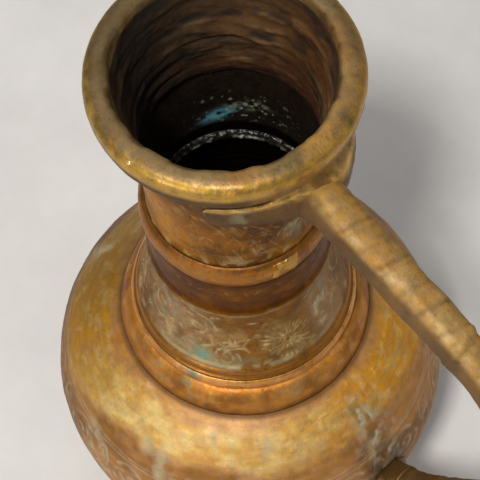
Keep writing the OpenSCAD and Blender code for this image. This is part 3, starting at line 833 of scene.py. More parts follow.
def make_flare():
    outer = [(36.45, 200.8), (36.5, 195), (37, 189), (37.9, 183), (39.3, 177), (41.2, 171), (43.4, 165), (45.4, 160.2), (46.3, 158.2)]
    foot = [(46.3, 158.2), (46.9, 157.6), (47.5, 156.6), (47.6, 155.6), (47.4, 154.8), (47.7, 153.9), (48.7, 152.9), (48.75, 150.5), (48.75, 132.2)]
    inner = [(47.2, 132.2), (47.2, 150), (46.4, 153), (44.3, 158), (41.9, 164.2), (39.6, 170.3), (37.7, 176.4), (36.3, 182.5), (35.4, 188.6), (34.95, 195), (34.95, 200.8)]
    P, T = loop((outer, 0.45, True), (foot[:7], 0.4, True), (foot[6:], 1.6, False), ([foot[-1], inner[0]], 1, False), (inner, 2.5, True), ([inner[-1], outer[0]], 0.8, False))
    L = Lathe(P, T, 580)
    B = L.base
    n = len(B)
    out = (L.nr > 0.2) & (L.z > 152.8)
    o1 = out.astype(float)
    field = o1 * band(L.z, 158.8, 197, 0.8)
    mot = []
    for i in range(3):
        mot.append((-16 + 120 * i, 170.0, rosette(10.8, 0.6), 9 * i))
        mot.append((-73 + 120 * i, 178.5, heart(8.4, 0.75), -14 + 11 * i))
        mot.append((-48 + 120 * i, 171.5, leafstar(7.4, 0.55), 14 - 9 * i))
        mot.append((-53 + 120 * i, 164.5, scroll(4.6, 0.5), 30))
        mot.append((-92 + 120 * i, 168.0, leafstar(6.2, 0.5), -20))
        mot.append((18 + 120 * i, 176.5, scroll(6.2, 0.52, -1), -10 * i))
        mot.append((10 + 120 * i, 164.0, arcs_small(), 40))
        for j, (da, dz) in enumerate([(-36, 186), (-28, 183), (-34, 176.5), (-27, 168), (-60, 188), (-64, 167), (4, 187), (14, 190), (-84, 190), (-2, 161.5), (-30, 161)]):
            mot.append((da + 120 * i, dz, [([(-1.9, 0), (1.9, 0.2)], 0.5), ([(-1.2, 1.2), (1.2, 1.3)], 0.36)], 25 * math.sin(j * 2.1 + i)))
    eng = place(L, out & (L.z > 158.5), mot, 42)
    rings = np.exp(-((L.z - 160.0 - 0.25 * vnoise(B, 8, 2)) / 0.45) ** 2) * o1
    topr = np.exp(-((L.z - 194.4 - 0.3 * vnoise(B, 8, 4)) / 0.5) ** 2) * o1
    nick = sst(vnoise(B, 1.35, 131), 0.5, 0.8) * sst(fbm(B, 9, 2, 133), -0.1, 0.6) * field
    calm = sst(L.z, 157.5, 161.5)
    L.d += o1 * calm * (0.16 * fbm(B, 14, 3, 1) - 0.36 * eng - 0.25 * rings - 0.2 * topr - 0.12 * nick - 0.08 * np.clip(1 - cells(B, 7.0, 2) * 1.5, 0, 1))
    f1, f2, f3 = fbm(B, 15, 4, 90), fbm(B, 5, 3, 91), fbm(B, 26, 3, 92)
    c = np.tile(lin(138, 92, 44), (n, 1))
    c = mixc(c, lin(150, 112, 58), sst(f1, -0.1, 0.8) * 0.5)
    c = mixc(c, lin(108, 64, 30), sst(fbm(B, 11, 3, 93), -0.1, 0.6) * 0.7)
    # the rosette's side is more olive
    c = mixc(c, lin(134, 104, 52), np.exp(-(angd(L.az, -14) / 15) ** 2) * band(L.z, 160, 186, 4) * 0.6)
    c = mixc(c, lin(176, 140, 98), np.exp(-(angd(L.az, -82) / 24) ** 2) * field * 0.6)
    c = mixc(c, lin(188, 168, 112), np.clip(eng, 0, 1) * (0.42 + 0.36 * sst(f2, -0.4, 0.4)))
    c = mixc(c, GREYGRN * 1.1, np.exp(-(angd(L.az, -101) / 15) ** 2) * band(L.z, 168, 196, 5) * sst(fbm(B, 3.4, 3, 99), -0.2, 0.7) * 0.6)
    c = mixc(c, DKBROWN, np.clip(nick, 0, 1) * 0.4)
    # pale run of deposit just under the ledge, broken at places
    dep = band(L.z, 192.2, 197.2, 1.5) * o1 * sst(fbm(B, 9, 3, 95), -0.75, 0.1)
    c = mixc(c, lin(170, 146, 98), dep * 0.75)
    w1 = sst(fbm(B, 7, 4, 96), 0.12, 0.8) * field
    c = mixc(c, lin(146, 128, 90), w1 * 0.24)
    c = c * (1 + 0.13 * brushed(L, 42, 6.0, 0.9, 189))[:, None]
    c = mixc(c, lin(96, 58, 28), sst(fbm(B, 6.5, 3, 190), 0.1, 0.7) * field * 0.35)
    c = mixc(c, lin(178, 148, 106), np.exp(-(angd(L.az, 16) / 15) ** 2) * field * 0.5)
    c = mixc(c, lin(170, 152, 114), np.exp(-(angd(L.az, -82) / 26) ** 2) * field * sst(fbm(B, 4.2, 3, 195), -0.1, 0.35) * 0.45)
    # verdigris pooled low at the front
    vg = (np.exp(-(angd(L.az, -70) / 7) ** 2) * band(L.z, 159, 169, 3) * 1.1 + np.exp(-(angd(L.az, -52) / 17) ** 2) * band(L.z, 158, 166, 2.5) * 0.85
          + np.exp(-(angd(L.az, 96) / 12) ** 2) * band(L.z, 159, 172, 3) * 0.9) * sst(f2, -0.7, 0.3)
    c = mixc(c, lin(112, 116, 80), vg * 0.55)
    c = mixc(c, lin(96, 142, 124), np.exp(-((angd(L.az, -66) / 4) ** 2 + ((L.z - 163.5) / 2.4) ** 2)) * sst(f2, -0.6, 0.2) * 0.8 * o1)
    gr = np.exp(-(angd(L.az, 12) / 7) ** 2) * band(L.z, 165, 195, 4) * sst(fbm(B, 4, 3, 97), -0.3, 0.5)
    c = mixc(c, lin(172, 166, 140), gr * 0.8)
    low = band(L.z, 158.6, 160.9, 0.8) * o1
    c = mixc(c, lin(170, 158, 118), low * sst(f2, -0.5, 0.3) * 0.6)
    fb = band(L.z, 153.0, 158.2, 0.5) * o1
    c = mixc(c, lin(164, 112, 60), fb * 0.75)
    # inner faces painted black as shade, darker still by the inner ledge at the top
    c = mixc(c, BLACK, (1 - o1) * 0.95)
    c = c * (1 - 0.8 * ((L.r < 36.4) & (L.z > 198) & (L.nr < 0.6)))[:, None] * (1 - 0.45 * (1 - o1))[:, None]
    s = surf(n, 0.82, 0.5, 0.45)
    setm(s, 1, eng * 0.6 + dep + vg + w1 * 0.6 + gr, 0.78)
    setm(s, 0, eng * 0.5 + dep * 0.8 + vg * 0.9 + w1 * 0.5 + gr * 0.8, 0.1)
    setm(s, 1, fb, 0.36)
    setm(s, 0, 1 - o1, 0.96); setm(s, 1, 1 - o1, 0.8)
    o = L.build("neck_flare_engraved", c, s, M["flare"])
    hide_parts("neck_flare")


# ------------------------------------------------------------------ collar
def make_collar():
    P = [(48.85, 146.1), (49.9, 146.1), (50.25, 147.4), (50.35, 149.2), (50.1, 150.9), (49.5, 152.2), (48.9, 152.8)]
    P, T = loop((P[:2], 0.4, False), (P[1:], 0.3, True), ([P[-1], P[0]], 1.5, False))
    L = Lathe(P, T, 640)
    B = L.base
    o1 = sst(L.r, 49.0, 49.8)
    L.d += o1 * (0.12 * fbm(B, 14, 3, 3) + 0.04 * fbm(B, 3, 2, 4))
    n = len(B)
    f1, f2 = fbm(B, 14, 3, 100), fbm(B, 4, 3, 101)
    c = np.tile(lin(204, 146, 92), (n, 1))
    c = mixc(c, lin(226, 172, 116), sst(f1, -0.3, 0.5) * 0.7)
    c = mixc(c, COPPER, sst(f2, 0.1, 0.8) * 0.5)
    c = mixc(c, VERD * 0.8, np.exp(-(angd(L.az, -70) / 3.5) ** 2) * 0.8)
    s = surf(n, 0.8, 0.42, 0.2)
    o = L.build("collar_bead_ring", c, s, M["collar"])
    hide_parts("collar_bead")

    P = [(48.9, 145.9), (50.3, 145.9), (51.6, 145.2), (53.2, 143.6), (54.8, 140.8), (55.9, 137.6), (56.5, 134.8), (56.8, 133.0), (56.85, 132.15), (48.9, 132.15)]
    P, T = loop((P[:2], 0.7, False), (P[1:9], 0.45, True), (P[8:], 2.0, False), ([P[9], P[0]], 2.0, False))
    L = Lathe(P, T, 720)
    B = L.base
    o1 = ((L.nr > 0.05) & (L.r > 50.2)).astype(float)
    groove = np.exp(-((L.z - 134.4) / 0.5) ** 2)
    L.d += o1 * (0.2 * fbm(B, 16, 3, 3) + 0.05 * fbm(B, 4, 2, 4) - 0.15 * groove - 0.12 * np.clip(1 - cells(B, 9.0, 8) * 1.5, 0, 1))
    n = len(B)
    f1, f2 = fbm(B, 16, 4, 104), fbm(B, 5, 3, 105)
    c = np.tile(lin(176, 118, 62), (n, 1))
    c = mixc(c, lin(198, 142, 84), sst(f1, -0.1, 0.7) * 0.6)
    c = mixc(c, BROWN, sst(fbm(B, 10, 3, 106), 0.0, 0.7) * 0.55)
    c = mixc(c, lin(206, 158, 100), sst(fbm(B, 5, 3, 107), 0.2, 0.7) * 0.4)
    c = c * (1 + 0.13 * brushed(L, 53, 8.0, 0.8, 191))[:, None]
    c = mixc(c, lin(120, 78, 42), sst(136.6 - L.z, -1, 3.5) * 0.7)
    c = mixc(c, lin(64, 42, 26), sst(133.6 - L.z, -0.3, 1.0) * 0.8)
    v = (np.exp(-(angd(L.az, -72) / 4.5) ** 2) + 0.7 * np.exp(-(angd(L.az, -87) / 5) ** 2) + 0.45 * np.exp(-(angd(L.az, -22) / 16) ** 2)) * band(L.z, 136, 145, 2) * sst(f2, -0.3, 0.4)
    c = mixc(c, lin(112, 122, 84), v * 0.75)
    s = surf(n, 0.72, 0.5, 0.3)
    setm(s, 1, v + sst(134 - L.z, -0.3, 1.0) * 0.6, 0.7)
    setm(s, 0, v, 0.2)
    o = L.build("collar_cover_ring", c, s, M["collar"])
    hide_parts("collar_ring")


# ------------------------------------------------------------------ body
def up_r(z):
    return BELLY_R * (1 - (np.clip((z - BELLY_Z) / UP_H, 0, 1)) ** UP_N) ** (1 / UP_N)


def body_r(z):
    z = np.asarray(z, float)
    return np.where(z >= BELLY_Z, up_r(z), BELLY_R * np.sqrt(np.clip(1 - ((BELLY_Z - z) / LOW_H) ** 2, 0, 1)))


def body_motifs():
    mot = []
    k = 16
    for i in range(k):
        a = -180 + (i + 0.4) * 360 / k
        mot.append((a, 90.5, scroll(8.2, 0.85, 1 if i % 2 else -1), 8 * math.sin(2.3 * i)))
        mot.append((a + 180 / k, 93.0, petal(7.4, 0.75), 10 * math.sin(1.1 * i)))
        mot.append((a + 180 / k, 79.5, leafstar(6.4, 0.8), 180 + 9 * math.sin(3.3 * i)))
    return mot


def body_paint(L, B, o1, eng):
    """colour and finish of the belly, by radius on the shoulder and by height below it"""
    n = len(B)
    az, z, r = L.az, L.z, L.r
    up = sst(z, 71, 74)
    q = np.where(z >= BELLY_Z, r, 187 - r)
    f1, f2, f3 = fbm(B, 22, 4, 110), fbm(B, 7, 4, 111), fbm(B, 3, 3, 112)
    edge1 = q + 3.0 * f1 + 1.5 * f2
    c = np.tile(lin(182, 134, 82), (n, 1))
    c = mixc(c, lin(196, 148, 98), sst(f2, -0.2, 0.6) * 0.55)
    c = mixc(c, lin(196, 156, 110), np.exp(-(angd(az, -50) / 26) ** 2) * 0.5)
    # golden band, brighter and blotched towards the left front, orange round the right side
    g = band(edge1 - 9.0 * np.exp(-(angd(az, -132) / 34) ** 2) * sst(q, 66, 76), 62.5, 78.5, 2.5)
    streaky = vnoise(np.stack([np.radians(az) * 93.5 / 16.0, q / 2.2, np.zeros(n)], 1), 1.0, 219)
    gold = mixc(np.tile(lin(198, 156, 82), (n, 1)), lin(206, 182, 126), sst(f2 + 0.5 * streaky, -0.4, 0.6) * 0.75)
    gold = mixc(gold, lin(180, 126, 72), sst(fbm(B, 13, 4, 118) + 0.35 * streaky, 0.0, 0.6) * 0.55)
    gold = mixc(gold, lin(208, 146, 46), np.exp(-(angd(az, 25) / 45) ** 2) * sst(f2 + 0.5 * streaky, -0.9, 0.2) * 0.9)
    gold = mixc(gold, lin(214, 190, 126), np.exp(-(angd(az, -90) / 20) ** 2) * sst(f2 + 0.5 * streaky, -0.6, 0.3) * 0.7)
    gold = mixc(gold, lin(194, 140, 36), np.exp(-(angd(az, -140) / 36) ** 2) * sst(f2 + 0.5 * streaky, -1.0, -0.1) * 0.95)
    c = c * (1 - g[:, None]) + gold * g[:, None]
    c = mixc(c, lin(190, 128, 72), np.exp(-(angd(az, -118) / 16) ** 2) * band(q, 57, 68, 3) * sst(f2, -0.2, 0.5) * 0.7)
    # copper-brown flank
    b = sst(edge1 - 9.0 * np.exp(-(angd(az, -132) / 34) ** 2), 76.5, 82.5)
    brown = mixc(np.tile(lin(172, 124, 78), (n, 1)), lin(130, 86, 48), sst(f1 + 0.3 * streaky, -0.15, 0.7) * 0.62)
    brown = mixc(brown, lin(178, 136, 96), sst(f2, 0.0, 0.8) * 0.5)
    c = c * (1 - b[:, None]) + brown * b[:, None]
    # the engraved zone has a grey bloom over it
    zone = band(z, 70, 101, 3.0) * o1
    c = mixc(c, lin(148, 116, 80), zone * sst(f2, -0.35, 0.5) * 0.42)
    c = mixc(c, lin(112, 74, 44), zone * sst(f1, -0.4, 0.4) * 0.3)
    c = mixc(c, lin(190, 174, 140), eng * (0.42 + 0.38 * sst(f3, -0.4, 0.5)))
    # below the belly: darker, blotched, with runs
    lowm = sst(68 - z, -2, 14)
    c = mixc(c, lin(122, 78, 46), lowm * 0.72)
    c = mixc(c, lin(84, 54, 34), lowm * sst(f1, -0.1, 0.7) * 0.6)
    # dark and bright specks
    c = mixc(c, lin(132, 90, 50), sst(vnoise(B, 2.3, 113), 0.5, 0.8) * sst(f1, -0.2, 0.6) * 0.3)
    c = mixc(c, lin(226, 198, 132), sst(fbm(B * np.array([1.0, 1.0, 1.6]), 4.6, 3, 114), 0.25, 0.8) * g * 0.32)
    # brushed marks that follow the round of the shoulder
    brush = vnoise(np.stack([np.radians(az) * 93.5 / 9.0, q / 0.9, np.zeros(n)], 1), 1.0, 119)
    c = c * (1 + 0.15 * brush * (0.6 + 0.4 * b))[:, None]
    # painted shade on the back left side
    back = np.exp(-(angd(az, -158) / 40) ** 2)
    c = c * (1 - 0.45 * back)[:, None]
    # pale runs of deposit
    run = np.zeros(n)
    for a, q0, q1, w in [(-84, 73, 78, 2.2), (-78, 75, 81, 2.6), (-73, 77, 88, 3.2), (-67, 81, 100, 3.0), (-37, 66, 74, 1.8), (-2.0, 70, 97, 3.2), (3.4, 67, 86, 2.4), (-97, 86, 104, 3.4),
                         (62, 74, 100, 3.0), (104, 70, 96, 3.6), (150, 78, 104, 4.0), (-160, 72, 98, 3.0)]:
        wv = 2.4 * vnoise(np.stack([q * 1.0, np.full(n, a * 1.0), np.zeros(n)], 1), 7, 115)
        run = np.maximum(run, np.exp(-(angd(az + wv * 0.6, a) / w) ** 2) * band(q, q0, q1, 2.5) * sst(fbm(B, 5, 3, 116), -0.45, 0.35))
    c = mixc(c, lin(170, 156, 122), run * 0.72)
    c = mixc(c, lin(134, 136, 106), run * sst(f3, 0.0, 0.6) * 0.4)
    # a crusted stain over the handle's lower joint, dark with pale flakes
    st = np.exp(-(angd(az, 0.5) / 6.5) ** 2) * band(q, 68, 96, 4) * sst(fbm(B, 6, 3, 301), -0.5, 0.3)
    c = mixc(c, lin(104, 92, 66), st * 0.6)
    c = mixc(c, lin(196, 190, 168), st * sst(vnoise(B, 2.1, 302), 0.05, 0.5) * 0.75)
    # darker in the crease under the collar
    cr = sst(59.2 - r, -0.6, 2.0) * up
    c = mixc(c, lin(92, 60, 34), cr * 0.75)
    # painted shade round the handle's lower joint
    dk = np.exp(-(angd(az, 0) / 8.5) ** 2) * band(z, 62, 98, 5)
    c = mixc(c, lin(58, 44, 30), dk * sst(f2, -0.8, 0.2) * 0.8)
    spot = np.exp(-((angd(az, -56) * 1.15) ** 2 + ((r - 66.5) * 0.9) ** 2) / 2.6) * up
    c = mixc(c, lin(138, 130, 112), spot * 0.7)
    return c, run, g, b, zone, lowm, cr


def finish_body(L, B, o1, eng, name, node):
    c, run, g, b, zone, lowm, cr = body_paint(L, B, o1, eng)
    n = len(B)
    s = surf(n, 0.58, 0.58, 0.25)
    setm(s, 1, b * 0.9, 0.6)
    setm(s, 0, b * 0.8, 0.55)
    setm(s, 1, zone * 0.6 + eng * 0.6, 0.62)
    setm(s, 0, zone * 0.35 + eng * 0.5, 0.3)
    setm(s, 1, run + cr * 0.6, 0.82)
    setm(s, 0, run * 0.9, 0.1)
    setm(s, 1, lowm * 0.6, 0.6)
    # inner faces painted black as shade
    c = mixc(c, BLACK, (1 - o1) * 0.96)
    setm(s, 0, 1 - o1, 0.9); setm(s, 1, 1 - o1, 0.85)
    o = L.build(name, c, s, M["body"])
    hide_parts(node)
    return o


def hammer(L, B, o1, eng, run=None):
    d = 0.30 * fbm(B, 30, 3, 120) + 0.10 * fbm(B, 8, 3, 121) - 0.16 * np.clip(1 - cells(B, 9.5, 122) * 1.45, 0, 1) - 0.05 * np.clip(1 - cells(B, 4.0, 123) * 1.5, 0, 1)
    return o1 * (d - 0.42 * eng)


def make_body():
    t0 = math.asin(((Z_CROWN - BELLY_Z) / UP_H) ** (UP_N / 2))
    out = [(BELLY_R * math.cos(t0 * k / 60) ** (2 / UP_N), BELLY_Z + UP_H * math.sin(t0 * k / 60) ** (2 / UP_N)) for k in range(61)]
    t1 = math.asin(((Z_CROWN - 2 - BELLY_Z) / (UP_H - 2)) ** (UP_N / 2))
    inn = [((BELLY_R - 2) * math.cos(t1 * k / 24) ** (2 / UP_N), BELLY_Z + (UP_H - 2) * math.sin(t1 * k / 24) ** (2 / UP_N)) for k in range(25)]
    P, T = loop((out, 0.95, False), ([out[-1], (46, 132), (46, 130), inn[-1]], 1.6, False), (inn[::-1], 3.5, False), ([inn[0], out[0]], 1.0, False))
    L = Lathe(P, T, 780)
    B = L.base
    o1 = ((L.part == 0) | ((L.z > 131.9) & (L.r > 50))).astype(float)
    eng = place(L, (L.part == 0), body_motifs(), 90)
    rl = (np.exp(-((L.z - 102.6 - 0.4 * vnoise(B, 12, 6)) / 0.55) ** 2) + np.exp(-((L.z - 104.6 - 0.4 * vnoise(B, 12, 6)) / 0.45) ** 2)) * (L.part == 0)
    eng = np.clip(eng + 0.55 * rl, 0, 1)
    fade = sst(L.z, 72.6, 75.5)
    L.d += hammer(L, B, o1, eng) * np.where(L.z < 76, fade, 1.0) * np.where(L.r < 58.5, sst(L.r, 56.6, 58.5), 1.0)
    finish_body(L, B, o1, eng, "body_upper_half", "body_shoulder")

    t2 = math.asin((BELLY_Z - Z_FOOT) / LOW_H)
    out = [(BELLY_R * math.cos(t2 * k / 60), BELLY_Z - LOW_H * math.sin(t2 * k / 60)) for k in range(61)]
    t3 = math.asin((BELLY_Z - 11) / (LOW_H - 2))
    inn = [((BELLY_R - 2) * math.cos(t3 * k / 24), BELLY_Z - (LOW_H - 2) * math.sin(t3 * k / 24)) for k in range(25)]
    P, T = loop((out, 0.95, False), ([out[-1], (50, 9), inn[-1]], 1.4, False), (inn[::-1], 3.5, False), ([inn[0], out[0]], 1.0, False))
    L = Lathe(P, T, 780)
    B = L.base
    o1 = (L.part == 0).astype(float)
    eng = place(L, (L.part == 0), [m for m in body_motifs() if m[1] < 85], 90)
    rl = (np.exp(-((L.z - 66.2 - 0.4 * vnoise(B, 12, 6)) / 0.55) ** 2) + np.exp(-((L.z - 64.2 - 0.4 * vnoise(B, 12, 6)) / 0.45) ** 2)) * (L.part == 0)
    eng = np.clip(eng + 0.55 * rl, 0, 1)
    L.d += hammer(L, B, o1, eng) * sst(72.4 - L.z, 0, 2.8) * sst(L.z, 8.8, 11)
    finish_body(L, B, o1, eng, "body_lower_half", "body_bowl")


def make_base():
    # the disc dishes up a little and shows its turning rings
    P, T = loop(([(0.6, 9.1), (12, 9.1), (40, 9.1), (50.0, 9.1)], 1.6, False), ([(50.0, 9.1), (53.4, 10.9)], 1.0, False), ([(53.4, 10.9), (0.6, 10.9)], 3.0, False), ([(0.6, 10.9), (0.6, 9.1)], 1.2, False))
    L = Lathe(P, T, 360)
    B = L.base
    under = (L.nz < -0.5).astype(float)
    L.d += under * (0.18 * np.sin(L.r * 2 * np.pi / 5.5) + 0.18 * fbm(B, 9, 3, 1)) * sst(49 - L.r, 0, 3)
    n = len(B)
    f = fbm(B, 9, 4, 140)
    c = np.tile(lin(110, 74, 44), (n, 1))
    c = mixc(c, lin(74, 50, 32), sst(f, -0.2, 0.6) * 0.7)
    c = mixc(c, GREYGRN, sst(fbm(B, 6, 3, 141), 0.2, 0.9) * 0.6)
    # faces inside the vessel painted black as shade
    c = mixc(c, BLACK, (1 - under) * 0.9)
    o = L.build("base_plate", c, surf(n, 0.6, 0.6, 0.6), M["band"])
    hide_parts("base_disc")
    P = [(47.6, 8.9), (54.0, 8.9), (54.6, 7.2), (56.0, 4.6), (57.8, 2.9), (58.5, 1.6), (58.6, 0.6), (58.2, 0.02), (54.4, 0.0), (53.4, 1.2), (52.2, 3.2), (49.8, 6), (47.6, 7.4)]
    P, T = loop((P[:2], 1.2, False), (P[1:8], 0.45, True), (P[7:9], 0.7, False), (P[8:], 0.8, True), ([P[-1], P[0]], 1, False))
    L = Lathe(P, T, 560)
    B = L.base
    o1 = ((L.z > 0.5) & (L.z < 8.6)).astype(float)
    L.d += o1 * (0.15 * fbm(B, 10, 3, 1) + 0.05 * fbm(B, 3, 2, 2))
    n = len(B)
    f1, f2 = fbm(B, 10, 4, 142), fbm(B, 3.2, 3, 143)
    c = np.tile(lin(146, 108, 58), (n, 1))
    c = mixc(c, BROWN, sst(f1, -0.2, 0.7) * 0.7)
    c = mixc(c, GOLD, band(L.z, 0.4, 3.2, 0.8) * (L.r > 57.4) * sst(f2, -0.5, 0.3) * 0.8)
    c = mixc(c, DKBROWN, sst(L.z, 7.0, 8.8) * 0.75)
    o = L.build("foot_ring_turned", c, surf(n, 0.8, 0.42, 0.5), M["rim"])
    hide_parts("foot_ring")


# ------------------------------------------------------------------ handle
PATH = [(42, 281.5), (50, 284.8), (60, 282.9), (72, 279.2), (86, 275.1), (100, 271.1), (114, 266.2), (126.4, 259.9), (137.6, 250.1), (145.9, 237.1), (150.5, 221.9),
        (152.2, 205), (151, 188.2), (146.3, 169.1), (139.5, 152), (131, 135.5), (121.5, 119), (113, 105.5), (104.5, 95)]


def handle_paint(V, flank=None, top=None):
    n = len(V)
    f1, f2, f3 = fbm(V, 14, 4, 150), fbm(V, 5, 3, 151), fbm(V, 2.0, 3, 152)
    c = np.tile(lin(152, 118, 68), (n, 1))
    c = mixc(c, lin(176, 146, 96), sst(f1, -0.2, 0.6) * 0.65)
    c = mixc(c, lin(164, 114, 52), sst(fbm(V, 11, 3, 153), 0.0, 0.8) * 0.55)
    c = mixc(c, lin(120, 98, 62), sst(f2, 0.1, 0.9) * 0.55)
    c = mixc(c, lin(96, 68, 38), sst(vnoise(V, 1.9, 154), 0.45, 0.85) * 0.6)
    return c, f1, f2, f3


def make_handle():
    line = spline(PATH, 0.9)
    # a stretch inside the clasp's boss
    line = np.vstack([[(40.2, 281.4)], [(41.1, 281.45)], line])
    t = np.gradient(line, axis=0)
    t /= np.linalg.norm(t, axis=1)[:, None]
    t[:3] = (1, 0)
    nl = len(line)
    s = np.concatenate([[0], np.cumsum(np.linalg.norm(np.diff(line, axis=0), axis=1))])
    S = s[-1]
    nu = 84
    a = 2 * np.pi * np.arange(nu) / nu
    c0 = np.sign(np.cos(a)) * np.abs(np.cos(a)) ** 0.62
    s0 = np.sign(np.sin(a)) * np.abs(np.sin(a)) ** 0.62
    fat = 1.04 - 0.24 * (s / S) ** 1.6
    deep = 1.04 - 0.36 * (s / S) ** 1.6
    wid = 15.0 * fat / 2
    thk = 15.0 * deep / 2
    x = line[:, 0]
    root = np.exp(-np.clip(s, 0, None) / 5.5)
    far = wid + 6.0 * np.exp(-(s / 5.8) ** 1.3)
    near = wid - 0.5 * root
    lift = 8.8 * np.exp(-s / 4.8)
    bev = 0.12 + 0.22 * sst(s, 16, 48) + 0.30 * np.exp(-(s / 10.0) ** 2)
    # a worn step two thirds of the way to the bend: fuller before it
    step = np.exp(-((x - 112) / 1.3) ** 2) * (np.arange(nl) < nl * 0.5)
    full = 1 + 0.03 * sst(112 - x, -1, 1) * (np.arange(nl) < nl * 0.5)
    V = np.zeros((nl, nu, 3))
    ss = np.repeat(s[:, None], nu, 1)
    for i in range(nl):
        w = np.where(c0 > 0, far[i], near[i] * (1 - bev[i] * np.clip(s0, 0, 1) ** 1.6)) * full[i]
        k = thk[i] * full[i]
        V[i, :, 0] = line[i, 0] - t[i, 1] * s0 * k
        V[i, :, 1] = c0 * w
        V[i, :, 2] = line[i, 1] + t[i, 0] * s0 * k + lift[i] * np.clip(s0, 0, 1) * np.where(c0 > 0, 1 - 0.5 * np.abs(c0) ** 2.5, 1 - 0.97 * np.abs(c0) ** 1.1)
    Nn = np.zeros_like(V)
    cn = np.sign(np.cos(a)) * np.abs(np.cos(a)) ** 1.0
    sn = np.sign(np.sin(a)) * np.abs(np.sin(a)) ** 1.0
    for i in range(nl):
        Nn[i, :, 0] = -t[i, 1] * sn
        Nn[i, :, 1] = cn
        Nn[i, :, 2] = t[i, 0] * sn
    F = V.reshape(-1, 3)
    Nf = Nn.reshape(-1, 3)
    Nf /= np.maximum(np.linalg.norm(Nf, axis=1), 1e-9)[:, None]
    sf = ss.ravel()
    A = np.tile(a, nl)
    topm = sst(np.sin(A), 0.2, 0.8)
    # cast lumps, filed flats, then file cuts across the corners
    d = 0.34 * fbm(F, 9, 3, 155) + 0.14 * fbm(F, 3.4, 3, 156) - 0.20 * np.clip(1 - cells(F, 6.5, 157) * 1.35, 0, 1)
    cut = np.zeros(len(F))
    edge = np.exp(-((np.abs(np.sin(A)) - 0.72) / 0.28) ** 2)
    for xc, dep in [(52, 0.5), (55.5, 0.45), (62, 0.9), (64.5, 0.4), (71, 0.45), (79, 0.95), (81.5, 0.4), (90, 0.6), (99, 1.0), (108.5, 0.5)]:
        j = np.argmin(np.abs(line[:nl // 2, 0] - xc))
        q = (sf - s[j] - 0.25 * F[:, 1]) / 0.75
        cut = np.maximum(cut, dep * np.exp(-q ** 2) * (0.35 * topm + 0.65 * edge) * (np.sin(A) > -0.2))
    d -= 0.55 * cut + 0.28
    j = np.argmin(np.abs(line[:nl // 2, 0] - 113))
    st = np.exp(-((sf - s[j] + 0.2 * F[:, 1]) / 1.1) ** 2)
    d += 0.55 * st * (np.sin(A) > -0.3)
    d -= 0.35 * np.exp(-((sf - s[j] - 2.6 + 0.2 * F[:, 1]) / 1.2) ** 2) * (np.sin(A) > -0.3)
    F = F + Nf * d[:, None]
    n = len(F)
    c, f1, f2, f3 = handle_paint(F)
    # the outer face is rubbed; its near corner gets a painted highlight, and the flanks are painted dark as shade
    ridge_highlight = np.exp(-((np.sin(A) - 0.80) / 0.16) ** 2) * (np.cos(A) < 0.1)
    c = mixc(c, lin(148, 112, 58), topm * 0.55)
    ridge_highlight = np.exp(-((np.sin(A) - 0.76) / 0.2) ** 2) * (np.cos(A) < 0.1)
    c = mixc(c, lin(184, 158, 112), ridge_highlight * sst(f2, -0.7, 0.3) * 0.7)
    # painted light on the top near the root
    c = mixc(c, lin(190, 150, 84), topm * np.exp(-(sf / 12.0) ** 2) * 0.6)
    flank = sst(0.55 - np.sin(A), -0.08, 0.3)
    c = mixc(c, lin(100, 72, 42), flank * 0.8)
    c = mixc(c, lin(72, 50, 30), flank * sst(f1, -0.1, 0.6) * 0.6)
    # painted shade on the near side at the root, under the clasp's wing
    c = mixc(c, lin(82, 57, 32), np.exp(-(sf / 11.0) ** 2) * sst(-np.cos(A), 0.25, 0.6) * 0.9)
    c = mixc(c, lin(84, 58, 34), np.clip(cut, 0, 1) * 0.7)
    c = mixc(c, lin(110, 104, 70), sst(f3, 0.25, 0.9) * 0.35 * topm)
    sfc = surf(n, 0.7, 0.52, 0.45)
    setm(sfc, 1, topm, 0.62)
    setm(sfc, 1, ridge_highlight * 0.6, 0.58)
    setm(sfc, 1, flank, 0.66)
    setm(sfc, 0, np.ones(n), 0.34)
    faces = [tuple(q) for q in quads(nl, nu, False, True)[:, ::-1]]
    faces.append(tuple(range(nu)))
    faces.append(tuple(range((nl - 1) * nu, nl * nu))[::-1])
    o = put("handle_bar", F, faces, c, sfc, M["handle"])
    import bmesh
    bm = bmesh.new(); bm.from_mesh(o.data)
    bmesh.ops.recalc_face_normals(bm, faces=bm.faces)
    bm.to_mesh(o.data); bm.free()
    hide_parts("handle_grip")
    return line[-1], t[-1], fat[-1], deep[-1]


